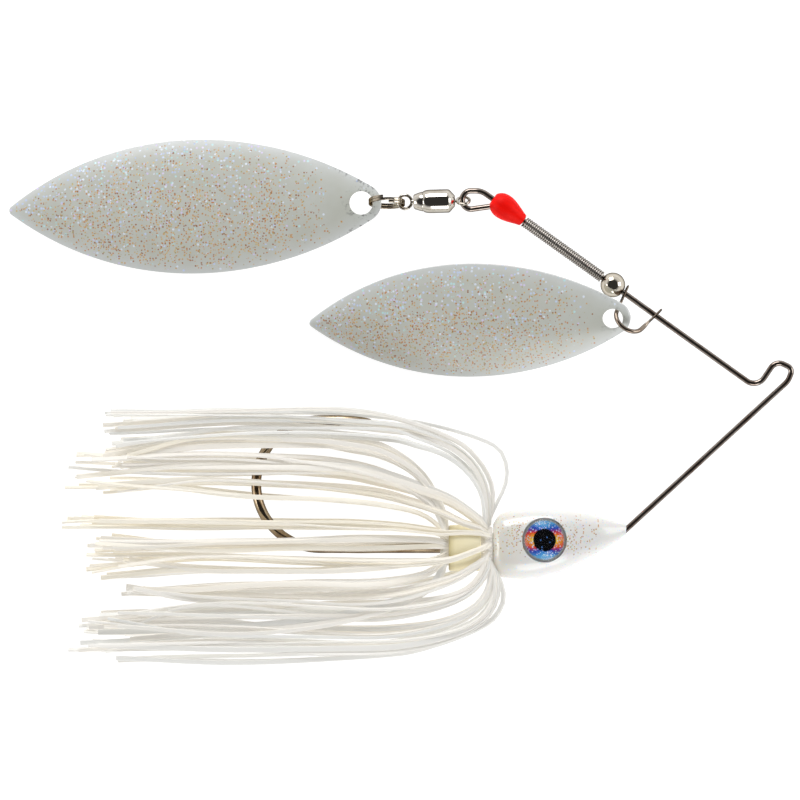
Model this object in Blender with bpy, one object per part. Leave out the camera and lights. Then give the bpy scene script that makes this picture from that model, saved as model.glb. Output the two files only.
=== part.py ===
"""A spinnerbait with two willow-leaf blades, lying on its side as on a table.

The bent wire lies in the XY plane. The origin is the line tie, in the open bend at the wire's nose; +X points
forward, the way the lure is pulled, +Y from the hook's shank to its point, and +Z up from the table.
Lengths below are in millimetres and angles in degrees; the meshes are written in metres.
"""

import math

import bmesh
import bpy
from mathutils import Matrix, Vector

MM = 0.001

# wire frame: lower arm, open bend with the line tie, upper arm, end loop
WIRE_R = 0.45
LOWER_ARM_TOP = (0.94, -1.46)
TIE_FRONT = (1.68, 0.56)
TIE_REAR = (-1.06, 1.84)
VALLEY = Vector((-4.09, -2.655, 0.0))
BEND_RADII = (3.0, 1.0, 1.6, 2.0)
ARM_ANGLE = 144.36
ARM_LENGTH = 54.88
LOOP_LENGTH = 3.1
LOOP_WIDTH = 3.2
LOOP_R = 1.4
TAG_GAP = 1.10
TAG_LENGTH = 2.8

# what sits on the upper arm: distances from the valley bend
CLEVIS_AT = 23.3
BEAD_AT = 28.72
BEAD_R = 2.0
SPRING_FROM = 30.8
SPRING_LENGTH = 15.6
SPRING_TURNS = 42
SPRING_R = 0.76
SPRING_WIRE_R = 0.16
SLEEVE_FROM = 46.5
SLEEVE_LENGTH = 6.1
SLEEVE_R = 2.05

# head: stations from its rear face to its nose, with the top, the bottom and the half width there
SHANK_Y = -28.5
HEAD_REAR = -46.8
HEAD_STATIONS = (
    (0.0, 3.9, -3.7, 3.3),
    (0.9, 5.3, -4.5, 4.05),
    (2.4, 5.95, -4.9, 4.4),
    (5.5, 6.45, -5.05, 4.65),
    (9.5, 6.5, -4.3, 4.7),
    (13.0, 6.25, -2.95, 4.35),
    (16.7, 5.5, -1.1, 3.3),
    (19.5, 4.55, 0.6, 2.05),
    (21.5, 3.95, 2.1, 0.95),
)
HEAD_SQUARENESS = 2.4
HEAD_SIDES = 24
KEEPER_R = 2.2
KEEPER_LENGTH = 8.6

# eyes, set into flat seats in the head's sides
EYE_FROM_REAR = 8.24
EYE_ABOVE_SHANK = 1.36
EYE_SEAT_R = 3.6
EYE_SEAT_Z = 3.6
EYE_R = 3.45
EYE_FOIL = 0.2
EYE_RIM = 0.3
EYE_DOME = 1.12
EYE_GAP = 0.03

# hook
HOOK_R = 0.8
HOOK_EYE_X = -37.2
HOOK_EYE_R = 1.7
HOOK_EYE_TURN = 285.0
HOOK_BEND_X = -74.8
HOOK_BEND_R = 10.35
HOOK_POINT_X = -66.3
HOOK_TAPER = 5.5
BARB_ROOT_X = -71.2
BARB_TIP = (-74.6, 1.95)

# skirt and its collar
COLLAR_FRONT = -48.8
COLLAR_LENGTH = 5.2
COLLAR_R = 3.8
COLLAR_WALL = 0.9
SKIRT_LANES = ((19.0, -109.0), (10.2, -113.5), (1.9, -112.6), (-7.2, -108.0), (-15.0, -112.0))
SKIRT_TIP_Z = 3.85

# clevis: a stirrup that stands up from the wire's plane by CLEVIS_LIFT
CLEVIS_LIFT = 42.0
CLEVIS_WIRE_R = 0.35
CLEVIS_TOP = 3.3
CLEVIS_BOTTOM = 2.15
CLEVIS_DEPTH = 6.3
CLEVIS_EAR = 1.6
CLEVIS_BEND_R = 2.4
EAR_WIDTH = 1.7
EAR_THICKNESS = 0.32
CLEVIS_CONTACT = 7.05

# blades: one willow-leaf outline at two sizes
BLADE_HALF_WIDTH = 10.85
BLADE_TIP_FLANK_R = 49.4
BLADE_EYE_FLANK_R = 54.1
BLADE_TIP_R = 0.8
BLADE_EYE_END_R = 3.1
BLADE_DOME = 2.3
BLADE_THICKNESS = 0.45
BLADE_HOLE_X = 26.9
BLADE_HOLE_R = 1.9
SMALL_SCALE = 0.868
SMALL_PITCH = 8.72
SMALL_ROLL = 15.0
SMALL_YAW = 0.95

# swivel, split ring and large blade, which trail from the end loop: distances from the loop's wire
CHAIN_DROOP = 3.2
CHAIN_YAW = 1.2
BARREL_REAR = 7.9
BARREL_FRONT = 1.2
BARREL_R = 1.9
CAVITY_R = 1.35
CAVITY_FRONT = 2.3
CAVITY_REAR = 6.9
FRONT_EYE_AT = -0.15
FRONT_EYE_TWIST = 35.0
EYE_RING_R = 1.0
EYE_WIRE_R = 0.26
REAR_EYE_AT = 9.3
REAR_EYE_RING_R = 1.1
SHAFT_R = 0.36
FLANGE_R = 1.25
BALL_COUNT = 6
BALL_R = 0.38
BALL_CIRCLE_R = 0.93
BALL_AT = 6.48
RING_R = 2.75
RING_AT = 12.25
RING_TURNS = 1.95
RING_PITCH = 0.46
RING_WIRE = 0.42
RING_TILT = -12.0
LARGE_HOLE_AT = 16.42

RUNNING_GAP = 0.08


def clear_scene():
    for obj in list(bpy.data.objects):
        bpy.data.objects.remove(obj, do_unlink=True)


def paint(name, colour, roughness, metallic=0.0, alpha=1.0):
    """A Principled material."""
    mat = bpy.data.materials.new(name)
    mat.use_nodes = True
    shader = mat.node_tree.nodes["Principled BSDF"]
    shader.inputs["Base Color"].default_value = (*colour, 1.0)
    shader.inputs["Roughness"].default_value = roughness
    shader.inputs["Metallic"].default_value = metallic
    shader.inputs["Alpha"].default_value = alpha
    return mat


def solid(name, bm, mat=None, sharp=40.0):
    """Turns a bmesh in millimetres into a smooth-shaded object in metres."""
    bmesh.ops.recalc_face_normals(bm, faces=bm.faces)
    bmesh.ops.scale(bm, vec=(MM, MM, MM), verts=bm.verts)
    mesh = bpy.data.meshes.new(name)
    bm.to_mesh(mesh)
    bm.free()
    mesh.shade_smooth()
    mesh.set_sharp_from_angle(angle=math.radians(sharp))
    obj = bpy.data.objects.new(name, mesh)
    bpy.context.scene.collection.objects.link(obj)
    if mat:
        obj.data.materials.append(mat)
    return obj


def place(obj, at=(0, 0, 0), turn=None, parent=None):
    """Sets an object's place in millimetres and its rotation as a matrix, under its parent."""
    obj.parent = parent
    obj.location = Vector(at) * MM
    if turn is not None:
        obj.rotation_euler = turn.to_euler()
    return obj


def pivot(name, at, turn=None, parent=None):
    """An empty on a joint's axis."""
    empty = bpy.data.objects.new(name, None)
    bpy.context.scene.collection.objects.link(empty)
    empty.empty_display_size = 2 * MM
    return place(empty, at, turn, parent)


def rotation(degrees, axis):
    return Matrix.Rotation(math.radians(degrees), 3, axis)


def hide_tool(obj):
    obj.hide_render = True
    obj.display_type = "WIRE"
    return obj


def boolean(obj, tool, operation="DIFFERENCE"):
    """Cuts or joins a hidden tool object."""
    modifier = obj.modifiers.new(tool.name, "BOOLEAN")
    modifier.operation = operation
    modifier.solver = "EXACT"
    modifier.object = hide_tool(tool)


def skin(rings, closed=False):
    """Joins rings of points into one closed surface. A ring of one point is a tip."""
    bm = bmesh.new()
    rows = [[bm.verts.new(point) for point in ring] for ring in rings]
    pairs = list(zip(rows, rows[1:]))
    if closed:
        pairs.append((rows[-1], rows[0]))
    for low, high in pairs:
        count = max(len(low), len(high))
        for k in range(count):
            after = (k + 1) % count
            corners = [low[k % len(low)], low[after % len(low)]]
            corners += [high[after % len(high)], high[k % len(high)]]
            bm.faces.new(list(dict.fromkeys(corners)))
    if not closed:
        for row in (rows[0], rows[-1]):
            if len(row) > 2:
                bm.faces.new(row)
    return bm


def polygon(sides, a, b, power=2.0):
    """Points of an ellipse, or of a squarer curve when power is over 2."""
    found = []
    for k in range(sides):
        angle = 2 * math.pi * k / sides
        c, s = math.cos(angle), math.sin(angle)
        x = math.copysign(abs(c) ** (2 / power), c)
        y = math.copysign(abs(s) ** (2 / power), s)
        found.append((a * x, b * y))
    return found


def rounded_path(corners, radii, step=15.0):
    """Points along straight runs through the corners, with each inner corner rounded to its radius."""
    corners = [Vector(c) for c in corners]
    points = [corners[0]]
    for before, corner, after, radius in zip(corners, corners[1:], corners[2:], radii):
        arrive = (corner - before).normalized()
        leave = (after - corner).normalized()
        turn = arrive.angle(leave)
        reach = radius * math.tan(turn / 2)
        start = corner - arrive * reach
        inward = (leave - arrive * arrive.dot(leave)).normalized()
        centre = start + inward * radius
        steps = max(2, round(math.degrees(turn) / step))
        for k in range(steps + 1):
            angle = turn * k / steps
            points.append(centre + radius * (arrive * math.sin(angle) - inward * math.cos(angle)))
    points.append(corners[-1])
    return points


def tangents(points, closed=False):
    """The direction of a path at each of its points."""
    count = len(points)
    found = []
    for k in range(count):
        before = points[k - 1] if k or closed else points[0]
        after = points[(k + 1) % count] if k + 1 < count or closed else points[-1]
        found.append((after - before).normalized())
    return found


def sweep(points, sections, side, closed=False):
    """Carries sections of (across, side) offsets along a path. The side direction follows the path."""
    rings = []
    for point, along, section in zip(points, tangents(points, closed), sections):
        side = (side - along * along.dot(side)).normalized()
        across = side.cross(along)
        rings.append([point + across * a + side * b for a, b in section])
    return skin(rings, closed)


def tube(points, radius, sides=8):
    """A round wire along a path in or near the XY plane. The radius may be a list."""
    radii = radius if isinstance(radius, list) else [radius] * len(points)
    side = Vector((0, 0, 1))
    if abs((points[1] - points[0]).normalized().z) > 0.9:
        side = Vector((1, 0, 0))
    return sweep(points, [polygon(sides, r, r) for r in radii], side)


def torus(radius, wire, steps=16, sides=8):
    """A ring of round wire about the Z axis."""
    circle = []
    for k in range(steps):
        angle = 2 * math.pi * k / steps
        circle.append(Vector((radius * math.cos(angle), radius * math.sin(angle), 0)))
    return sweep(circle, [polygon(sides, wire, wire)] * steps, Vector((0, 0, 1)), closed=True)


def coil(radius, pitch, turns, section, steps_per_turn):
    """A helix about the X axis, from x = 0, with a section of (radial, axial) offsets."""
    rings = []
    count = round(turns * steps_per_turn)
    for k in range(count + 1):
        angle = 2 * math.pi * k / steps_per_turn
        out = Vector((0, math.cos(angle), math.sin(angle)))
        start = Vector((pitch * k / steps_per_turn, 0, 0))
        rings.append([start + out * (radius + r) + Vector((a, 0, 0)) for r, a in section])
    return skin(rings)


def turned(profile, segments=20, hollow=True):
    """Turns (x, radius) points about the X axis. A hollow profile closes on itself."""
    rings = []
    for x, r in profile:
        if r == 0:
            rings.append([Vector((x, 0, 0))])
            continue
        angles = [2 * math.pi * k / segments for k in range(segments)]
        rings.append([Vector((x, r * math.cos(t), r * math.sin(t))) for t in angles])
    return skin(rings, closed=hollow)


def arc_profile(radius, low, high, steps):
    """(x, r) points on a circle about the origin, between two angles from +X in degrees."""
    found = []
    for k in range(steps + 1):
        angle = math.radians(low + (high - low) * k / steps)
        found.append((radius * math.cos(angle), radius * math.sin(angle)))
    return found


def rod(name, start, end, radius, sides=12):
    """A straight round tool."""
    return solid(name, tube([Vector(start), Vector(end)], radius, sides))


def arm_point(distance):
    """A point on the upper arm's centre line, counted from the valley bend."""
    return VALLEY + ARM_TURN @ Vector((distance, 0, 0))


def along(points, distance):
    """The point at a distance along a path."""
    for start, end in zip(points, points[1:]):
        run = (end - start).length
        if distance <= run:
            return start.lerp(end, distance / run)
        distance -= run
    raise ValueError("the path is too short")


def interpolate(stations, at):
    """A smooth curve through rows of values, read at one value of their first column."""
    last = len(stations) - 2
    index = max(k for k in range(last + 1) if k == 0 or stations[k][0] <= at)
    rows = [stations[min(max(index + k, 0), last + 1)] for k in (-1, 0, 1, 2)]
    x0, x1, x2, x3 = (row[0] for row in rows)
    span = x2 - x1
    t = (at - x1) / span
    found = []
    for y0, y1, y2, y3 in zip(*(row[1:] for row in rows)):
        rise1 = (y2 - y0) / (x2 - x0) * span
        rise2 = (y3 - y1) / (x3 - x1) * span
        found.append(
            (2 * t**3 - 3 * t**2 + 1) * y1
            + (t**3 - 2 * t**2 + t) * rise1
            + (3 * t**2 - 2 * t**3) * y2
            + (t**3 - t**2) * rise2
        )
    return found


ARM_TURN = rotation(ARM_ANGLE, "Z")
HOOK_EYE = Vector((HOOK_EYE_X, SHANK_Y + HOOK_EYE_R, 0.0))


def wire_path():
    """The whole wire, from the end cast into the head to the tag at the end loop."""
    above_eye = HOOK_EYE + Vector((0, 0, HOOK_R + WIRE_R + 0.15))
    below_eye = HOOK_EYE - Vector((0, 0, HOOK_R + 2 * WIRE_R))
    loop_start = arm_point(ARM_LENGTH)
    loop_left = loop_start.x - LOOP_LENGTH
    tag_start = arm_point(52.1) + ARM_TURN @ Vector((0, TAG_GAP, 0))
    corners = [
        below_eye,
        above_eye,
        above_eye + Vector((4.2, 0.1, 0)),
        Vector((-26.4, -26.53, 0)),
        (*LOWER_ARM_TOP, 0),
        (*TIE_FRONT, 0),
        (*TIE_REAR, 0),
        VALLEY,
        loop_start,
        (loop_left, loop_start.y, 0),
        (loop_left, loop_start.y - LOOP_WIDTH, 0),
        tag_start,
        tag_start - ARM_TURN @ Vector((TAG_LENGTH, 0, 0)),
    ]
    return rounded_path(corners, (0.9, 1.5, 1.5, *BEND_RADII, 3.0, LOOP_R, LOOP_R, 0.8))


def build_wire():
    steel = paint("stainless_wire", (0.30, 0.28, 0.27), 0.22, 1.0)
    solid("wire_frame", tube(wire_path(), WIRE_R), steel)


def hook_path():
    """From the hook's eye, along the shank and round the bend to the point."""
    points = []
    steps = round(HOOK_EYE_TURN / 19)
    for k in range(steps + 1):
        angle = math.radians(HOOK_EYE_TURN - 90 - HOOK_EYE_TURN * k / steps)
        points.append(HOOK_EYE + HOOK_EYE_R * Vector((math.cos(angle), math.sin(angle), 0)))
    centre = Vector((HOOK_BEND_X, SHANK_Y + HOOK_BEND_R, 0))
    steps = 16
    for k in range(steps + 1):
        angle = math.radians(270 - 180 * k / steps)
        points.append(centre + HOOK_BEND_R * Vector((math.cos(angle), math.sin(angle), 0)))
    point_y = SHANK_Y + 2 * HOOK_BEND_R
    for share in (0, 0.35, 0.7, 1):
        points.append(Vector((HOOK_POINT_X - HOOK_TAPER * (1 - share), point_y, 0)))
    return points


def build_hook():
    nickel = paint("black_nickel_hook", (0.42, 0.36, 0.29), 0.28, 1.0)
    path = hook_path()
    radii = [HOOK_R] * (len(path) - 3) + [HOOK_R * 0.8, HOOK_R * 0.45, HOOK_R * 0.1]
    hook = solid("hook", tube(path, radii), nickel)
    point_y = SHANK_Y + 2 * HOOK_BEND_R
    barb_path = [Vector((BARB_ROOT_X, point_y - 0.2, 0)), Vector((BARB_TIP[0], point_y - BARB_TIP[1], 0))]
    barb = tube(barb_path, [0.5, 0.06])
    boolean(hook, solid("hook_barb_tool", barb), "UNION")


def head_rings():
    """The keeper barrel's two ends, then the head's sections from its rear face to its nose."""
    rings = []
    for x in (HEAD_REAR - KEEPER_LENGTH, HEAD_REAR):
        rings.append([Vector((x, SHANK_Y + y, z)) for y, z in polygon(HEAD_SIDES, KEEPER_R, KEEPER_R)])
    length = HEAD_STATIONS[-1][0]
    steps = 16
    for k in range(steps + 1):
        at = length * (1 - math.cos(math.pi * k / steps)) / 2
        top, bottom, half_width = interpolate(HEAD_STATIONS, at)
        middle = SHANK_Y + (top + bottom) / 2
        outline = polygon(HEAD_SIDES, (top - bottom) / 2, half_width, HEAD_SQUARENESS)
        rings.append([Vector((HEAD_REAR + at, middle + y, z)) for y, z in outline])
    return rings


def build_head():
    """The cast head, with seats for the eyes and room for the wire's end and the hook's eye."""
    enamel = paint("pearl_white_head", (0.86, 0.86, 0.83), 0.22)
    head = solid("head", skin(head_rings()), enamel)
    for side, word in ((1, "left"), (-1, "right")):
        seat = eye_centre(side * EYE_SEAT_Z)
        boolean(head, rod(f"eye_seat_{word}_tool", seat, seat + Vector((0, 0, 3 * side)), EYE_SEAT_R, 24))
    wire = [p for p in wire_path() if p.x < -20 and p.y < 0]
    wire[0] = wire[0] - Vector((0, 0, 0.1))
    toward_tie = Vector((*LOWER_ARM_TOP, 0)) - wire[-1]
    wire.append(wire[-1] + toward_tie.normalized() * 4)
    boolean(head, solid("wire_room_tool", tube(wire, WIRE_R + RUNNING_GAP)))
    hook = [p for p in hook_path() if p.x > HOOK_BEND_X + 1 and p.y < -20]
    hook[0] = hook[0] - (hook[1] - hook[0]).normalized() * 0.1
    hook.append(Vector((HEAD_REAR - KEEPER_LENGTH - 3, SHANK_Y, 0)))
    boolean(head, solid("hook_room_tool", tube(hook, HOOK_R + RUNNING_GAP + 0.02)))


def eye_centre(z):
    return Vector((HEAD_REAR + EYE_FROM_REAR, SHANK_Y + EYE_ABOVE_SHANK, z))


def build_eyes():
    """On each side a printed foil disc under a clear domed cap."""
    dome_r = (EYE_R**2 + EYE_DOME**2) / (2 * EYE_DOME)
    edge = math.degrees(math.asin(EYE_R / dome_r))
    dome = [(x - dome_r + EYE_RIM + EYE_DOME, r) for x, r in arc_profile(dome_r, edge, 0, 4)]
    lens_profile = [(0, 0), (0, EYE_R), *dome[:-1], (EYE_RIM + EYE_DOME, 0)]
    foil_profile = [(0, 0), (0, EYE_R), (EYE_FOIL, EYE_R), (EYE_FOIL, 0)]
    for side, word in ((1, "left"), (-1, "right")):
        foil_paint = paint(f"eye_foil_{word}", (0.35, 0.45, 0.62), 0.2, 0.6)
        lens_paint = paint(f"eye_lens_{word}", (0.92, 0.95, 0.97), 0.05, 0.0, 0.3)
        turn = rotation(-90 * side, "Y")
        foil_z = side * (EYE_SEAT_Z + EYE_GAP)
        lens_z = side * (EYE_SEAT_Z + EYE_FOIL + 2 * EYE_GAP)
        foil = solid(f"eye_foil_{word}", turned(foil_profile, 24, hollow=False), foil_paint)
        lens = solid(f"eye_lens_{word}", turned(lens_profile, 24, hollow=False), lens_paint)
        place(foil, eye_centre(foil_z), turn)
        place(lens, eye_centre(lens_z), turn)


def strap(stations):
    """A flattened bundle through (centre, width direction, half width, half thickness) stations."""
    centres = [station[0] for station in stations]
    rings = []
    for (centre, wide, half_width, half_depth), ahead in zip(stations, tangents(centres)):
        wide = (wide - ahead * ahead.dot(wide)).normalized()
        deep = ahead.cross(wide)
        outline = polygon(8, half_width, half_depth)
        rings.append([centre + wide * a + deep * b for a, b in outline])
    return skin(rings)


def front_tuft(lane, tip_x, angle, layer):
    """A bundle that leaves the front of the collar and folds back over it to its lane."""
    out = Vector((0, math.cos(angle), math.sin(angle) * layer))
    wide = Vector((0, -math.sin(angle), math.cos(angle) * layer))
    if wide.y < 0:
        wide = -wide
    lateral = Vector((0, 1, 0))
    deepest = 4.4 if layer < 0 else 5.6
    share_of_depth = 0.93 if layer < 0 else 1.0

    def at(x, y, z):
        return Vector((x, SHANK_Y + y, layer * min(abs(z) * share_of_depth, deepest)))

    root = [(-47.75, 3.15, 0.75, 0.35), (-47.75, 4.3, 0.85, 0.4), (-48.1, 5.5, 1.05, 0.45)]
    stations = [(at(x, out.y * r, out.z * r), wide, hw, hd) for x, r, hw, hd in root]
    fold = out.y * 5.5
    spread = (
        (-50.4, 0.45, 4.75, 1.8, 0.5),
        (-55.0, 0.70, 4.65, 2.6, 0.55),
        (-63.0, 0.90, 4.05, 3.3, 1.0),
        (-78.0, 1.0, SKIRT_TIP_Z + 0.1, 3.7, 1.3),
        (-98.0, 1.0, SKIRT_TIP_Z + 0.1, 3.7, 1.25),
    )
    for x, share, z, half_width, half_depth in spread:
        y = fold + (lane - fold) * share
        stations.append((at(x, y, z), lateral, half_width, half_depth))
    stations.append((at(tip_x, lane, SKIRT_TIP_Z), lateral, 2.9, 0.9))
    return strap(stations)


def rear_tuft(layer):
    """The bundle that goes straight back from the collar, on one side of the hook and under its shank."""
    lateral = Vector((0, 1, 0))
    spread = (
        (-56.6, 1.8, -1.2),
        (-60.0, 3.2, -3.6),
        (-68.0, 5.0, -6.2),
        (-80.0, 6.3, -7.6),
        (-106.0, 6.5, -7.9),
    )
    stations = [(Vector((x, SHANK_Y + y, layer * 1.6)), lateral, hw, 0.5) for x, hw, y in spread]
    return strap(stations)


def build_skirt():
    """Bundles of cut silicone strands, and the rubber collar that grips them on the keeper barrel."""
    rear_end = COLLAR_FRONT - COLLAR_LENGTH
    inner = COLLAR_R - COLLAR_WALL
    collar_profile = [
        (COLLAR_FRONT, inner),
        (COLLAR_FRONT, COLLAR_R - 0.2),
        (COLLAR_FRONT - 0.2, COLLAR_R),
        (rear_end + 0.2, COLLAR_R),
        (rear_end, COLLAR_R - 0.2),
        (rear_end, inner),
    ]
    amber = paint("skirt_collar", (0.80, 0.69, 0.42), 0.35, 0.0, 0.9)
    place(solid("skirt_collar", turned(collar_profile), amber), (0, SHANK_Y, 0))
    bore = KEEPER_R + 0.06
    root_profile = [
        (COLLAR_FRONT + 0.7, bore),
        (COLLAR_FRONT + 0.7, inner - 0.06),
        (rear_end - 0.9, inner - 0.06),
        (rear_end - 0.9, bore),
    ]
    silicone = paint("skirt_roots", (0.90, 0.88, 0.84), 0.4)
    place(solid("skirt_roots", turned(root_profile), silicone), (0, SHANK_Y, 0))
    for layer, word in ((1, "upper"), (-1, "lower")):
        for number, (lane, tip_x) in enumerate(SKIRT_LANES, 1):
            angle = math.radians(21 + 35 * (number - 1))
            name = f"skirt_front_{word}_{number}"
            solid(name, front_tuft(lane, tip_x, angle, layer), paint(name, (0.92, 0.91, 0.88), 0.4))
        name = f"skirt_rear_{word}"
        solid(name, rear_tuft(layer), paint(name, (0.90, 0.87, 0.80), 0.4))


def build_tag_sleeve():
    """The red sleeve over the arm and over the tag end that closes the loop."""
    bore = WIRE_R + RUNNING_GAP
    swell = ((0.12, 0.95), (1.2, 1.35), (2.5, 1.8), (3.8, SLEEVE_R), (4.9, 1.95), (5.7, 1.5))
    profile = [(0.0, bore), *swell, (SLEEVE_LENGTH, 0.85), (SLEEVE_LENGTH, bore)]
    red = paint("red_sleeve", (0.86, 0.06, 0.04), 0.35)
    sleeve = solid("tag_sleeve", turned(profile), red)
    place(sleeve, arm_point(SLEEVE_FROM), ARM_TURN)
    path = wire_path()
    tag = path[-9:]
    tag[-1] = tag[-1] + (tag[-1] - tag[-2]).normalized() * 0.2
    boolean(sleeve, solid("tag_room_tool", tube(tag, bore)))


def build_arm_pieces():
    """The spring sleeve and the bead, both loose on the upper arm."""
    nickel = paint("spring_sleeve", (0.55, 0.52, 0.50), 0.3, 1.0)
    section = polygon(5, SPRING_WIRE_R, SPRING_WIRE_R)
    pitch = (SPRING_LENGTH - 2 * SPRING_WIRE_R) / SPRING_TURNS
    spring = solid("spring_sleeve", coil(SPRING_R, pitch, SPRING_TURNS, section, 10), nickel)
    place(spring, arm_point(SPRING_FROM + SPRING_WIRE_R), ARM_TURN)

    bore = WIRE_R + RUNNING_GAP + 0.02
    edge = math.degrees(math.asin(bore / BEAD_R))
    chrome = paint("bead", (0.80, 0.78, 0.74), 0.08, 1.0)
    bead = solid("bead", turned(arc_profile(BEAD_R, edge, 180 - edge, 10)), chrome)
    place(bead, arm_point(BEAD_AT), ARM_TURN)


def clevis_path():
    """The stirrup in its own frame: X along the arm towards the line tie, Y away from the arm."""
    corners = [
        (-CLEVIS_TOP, -CLEVIS_EAR, 0),
        (-CLEVIS_BOTTOM, CLEVIS_DEPTH, 0),
        (CLEVIS_BOTTOM, CLEVIS_DEPTH, 0),
        (CLEVIS_TOP, -CLEVIS_EAR, 0),
    ]
    return rounded_path(corners, (CLEVIS_BEND_R, CLEVIS_BEND_R), 14.0)


def clevis_sections(path):
    """Flat drilled ears that run into a round bend."""
    found = []
    for point in path:
        flat = min(max((3.6 - point.y) / 1.8, 0.0), 1.0)
        half_thickness = CLEVIS_WIRE_R + (EAR_THICKNESS / 2 - CLEVIS_WIRE_R) * flat
        half_width = CLEVIS_WIRE_R + (EAR_WIDTH / 2 - CLEVIS_WIRE_R) * flat
        if point.y < -CLEVIS_EAR + 0.1:
            half_width *= 0.55
        found.append(polygon(10, half_thickness, half_width))
    return found


def with_stops(path, heights):
    """Adds points on both straight legs, at heights from the arm, where the section changes."""
    first, last = path[0], path[-1]
    foot, head = path[1], path[-2]

    def stop(top, bottom, y):
        return top.lerp(bottom, (y - top.y) / (bottom.y - top.y))

    down = [stop(first, foot, y) for y in heights]
    up = [stop(last, head, y) for y in reversed(heights)]
    return [first, *down, *path[1:-1], *up, last]


def build_clevis():
    """Built about the arm's axis, and lifted out of the wire's plane so that it passes through the blade."""
    turn = ARM_TURN @ rotation(180, "Z") @ rotation(180, "X") @ rotation(-CLEVIS_LIFT, "X")
    path = with_stops(clevis_path(), (-1.1, 1.8, 2.7))
    steel = paint("clevis", (0.45, 0.42, 0.40), 0.25, 1.0)
    clevis = solid("clevis", sweep(path, clevis_sections(path), Vector((0, 0, 1))), steel)
    place(clevis, arm_point(CLEVIS_AT), turn)
    hole = rod("clevis_hole_tool", (-5, 0, 0), (5, 0, 0), WIRE_R + RUNNING_GAP + 0.04)
    place(hole, (0, 0, 0), None, clevis)
    boolean(clevis, hole)
    return turn


def leaf_outline():
    """(x, half width) along the blade from tip to eye end, with x from its widest place."""

    def half(flank_r, end_r, steps, end_steps):
        centre_y = -(flank_r - BLADE_HALF_WIDTH)
        end_x = math.sqrt((flank_r - end_r) ** 2 - centre_y**2)
        meet = math.atan2(-centre_y, end_x)
        flank = []
        for k in range(steps):
            angle = math.pi / 2 + (meet - math.pi / 2) * k / steps
            flank.append((flank_r * math.cos(angle), centre_y + flank_r * math.sin(angle)))
        end = []
        for k in range(end_steps + 1):
            angle = meet * (1 - k / end_steps)
            end.append((end_x + end_r * math.cos(angle), end_r * math.sin(angle)))
        return flank + end

    tip = half(BLADE_TIP_FLANK_R, BLADE_TIP_R, 8, 2)
    eye = half(BLADE_EYE_FLANK_R, BLADE_EYE_END_R, 8, 4)
    return [(-x, w) for x, w in reversed(tip)] + eye[1:]


def dome_height(half_width, share):
    """The blade's rise over its rim, at a share of the half width from the centre line."""
    return BLADE_DOME * (half_width / BLADE_HALF_WIDTH) * (1 - share**2)


def blade_sheet(scale, rows=8):
    """The blade's outer face, with its origin at the middle of the hole."""
    bm = bmesh.new()
    grid = []
    outline = leaf_outline()
    for number, (x, half_width) in enumerate(outline):
        shares = [0.0] if number in (0, len(outline) - 1) else [2 * k / rows - 1 for k in range(rows + 1)]
        width = half_width if len(shares) > 1 else 0.0
        points = [(x - BLADE_HOLE_X, width * s, dome_height(width, s)) for s in shares]
        grid.append([bm.verts.new(Vector(p) * scale) for p in points])
    for low, high in zip(grid, grid[1:]):
        for k in range(rows):
            corners = [low[k % len(low)], high[k % len(high)]]
            corners += [high[(k + 1) % len(high)], low[(k + 1) % len(low)]]
            if len(low) == 1:
                corners = [low[0], high[k], high[k + 1]]
            if len(high) == 1:
                corners = [low[k], high[0], low[k + 1]]
            bm.faces.new(corners)
    return bm


def build_blade(name, scale, at, turn, parent):
    """A domed leaf of sheet brass with its hole. Its middle thickness at the hole is at the given place."""
    mat = paint(name, (0.80, 0.80, 0.77), 0.35, 0.1)
    blade = solid(name, blade_sheet(scale), mat)
    thickness = blade.modifiers.new("thickness", "SOLIDIFY")
    thickness.thickness = BLADE_THICKNESS * MM
    thickness.offset = -1
    hole_r = BLADE_HOLE_R * scale
    hole = place(rod(f"{name}_hole_tool", (0, 0, -3), (0, 0, 4), hole_r, 24), (0, 0, 0), None, blade)
    boolean(blade, hole)
    return place(blade, at, turn, parent)


def blade_middle(scale):
    """How high the middle of the sheet is over the rim's plane, at the hole."""
    half_width = min(leaf_outline(), key=lambda p: abs(p[0] - BLADE_HOLE_X))[1]
    return dome_height(half_width, 0) * scale - BLADE_THICKNESS / 2


def build_small_blade(clevis_turn):
    """The small blade hangs on the stirrup, with its tip on the table."""
    contact = along(clevis_path(), CLEVIS_CONTACT)
    hinge = pivot("small_blade_pivot", arm_point(CLEVIS_AT) + clevis_turn @ contact)
    turn = rotation(SMALL_YAW, "Z") @ rotation(-SMALL_PITCH, "Y") @ rotation(SMALL_ROLL, "X")
    wire_in_hole = Vector((0.6, 0.35, blade_middle(SMALL_SCALE)))
    build_blade("small_blade", SMALL_SCALE, -(turn @ wire_in_hole), turn, hinge)


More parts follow.
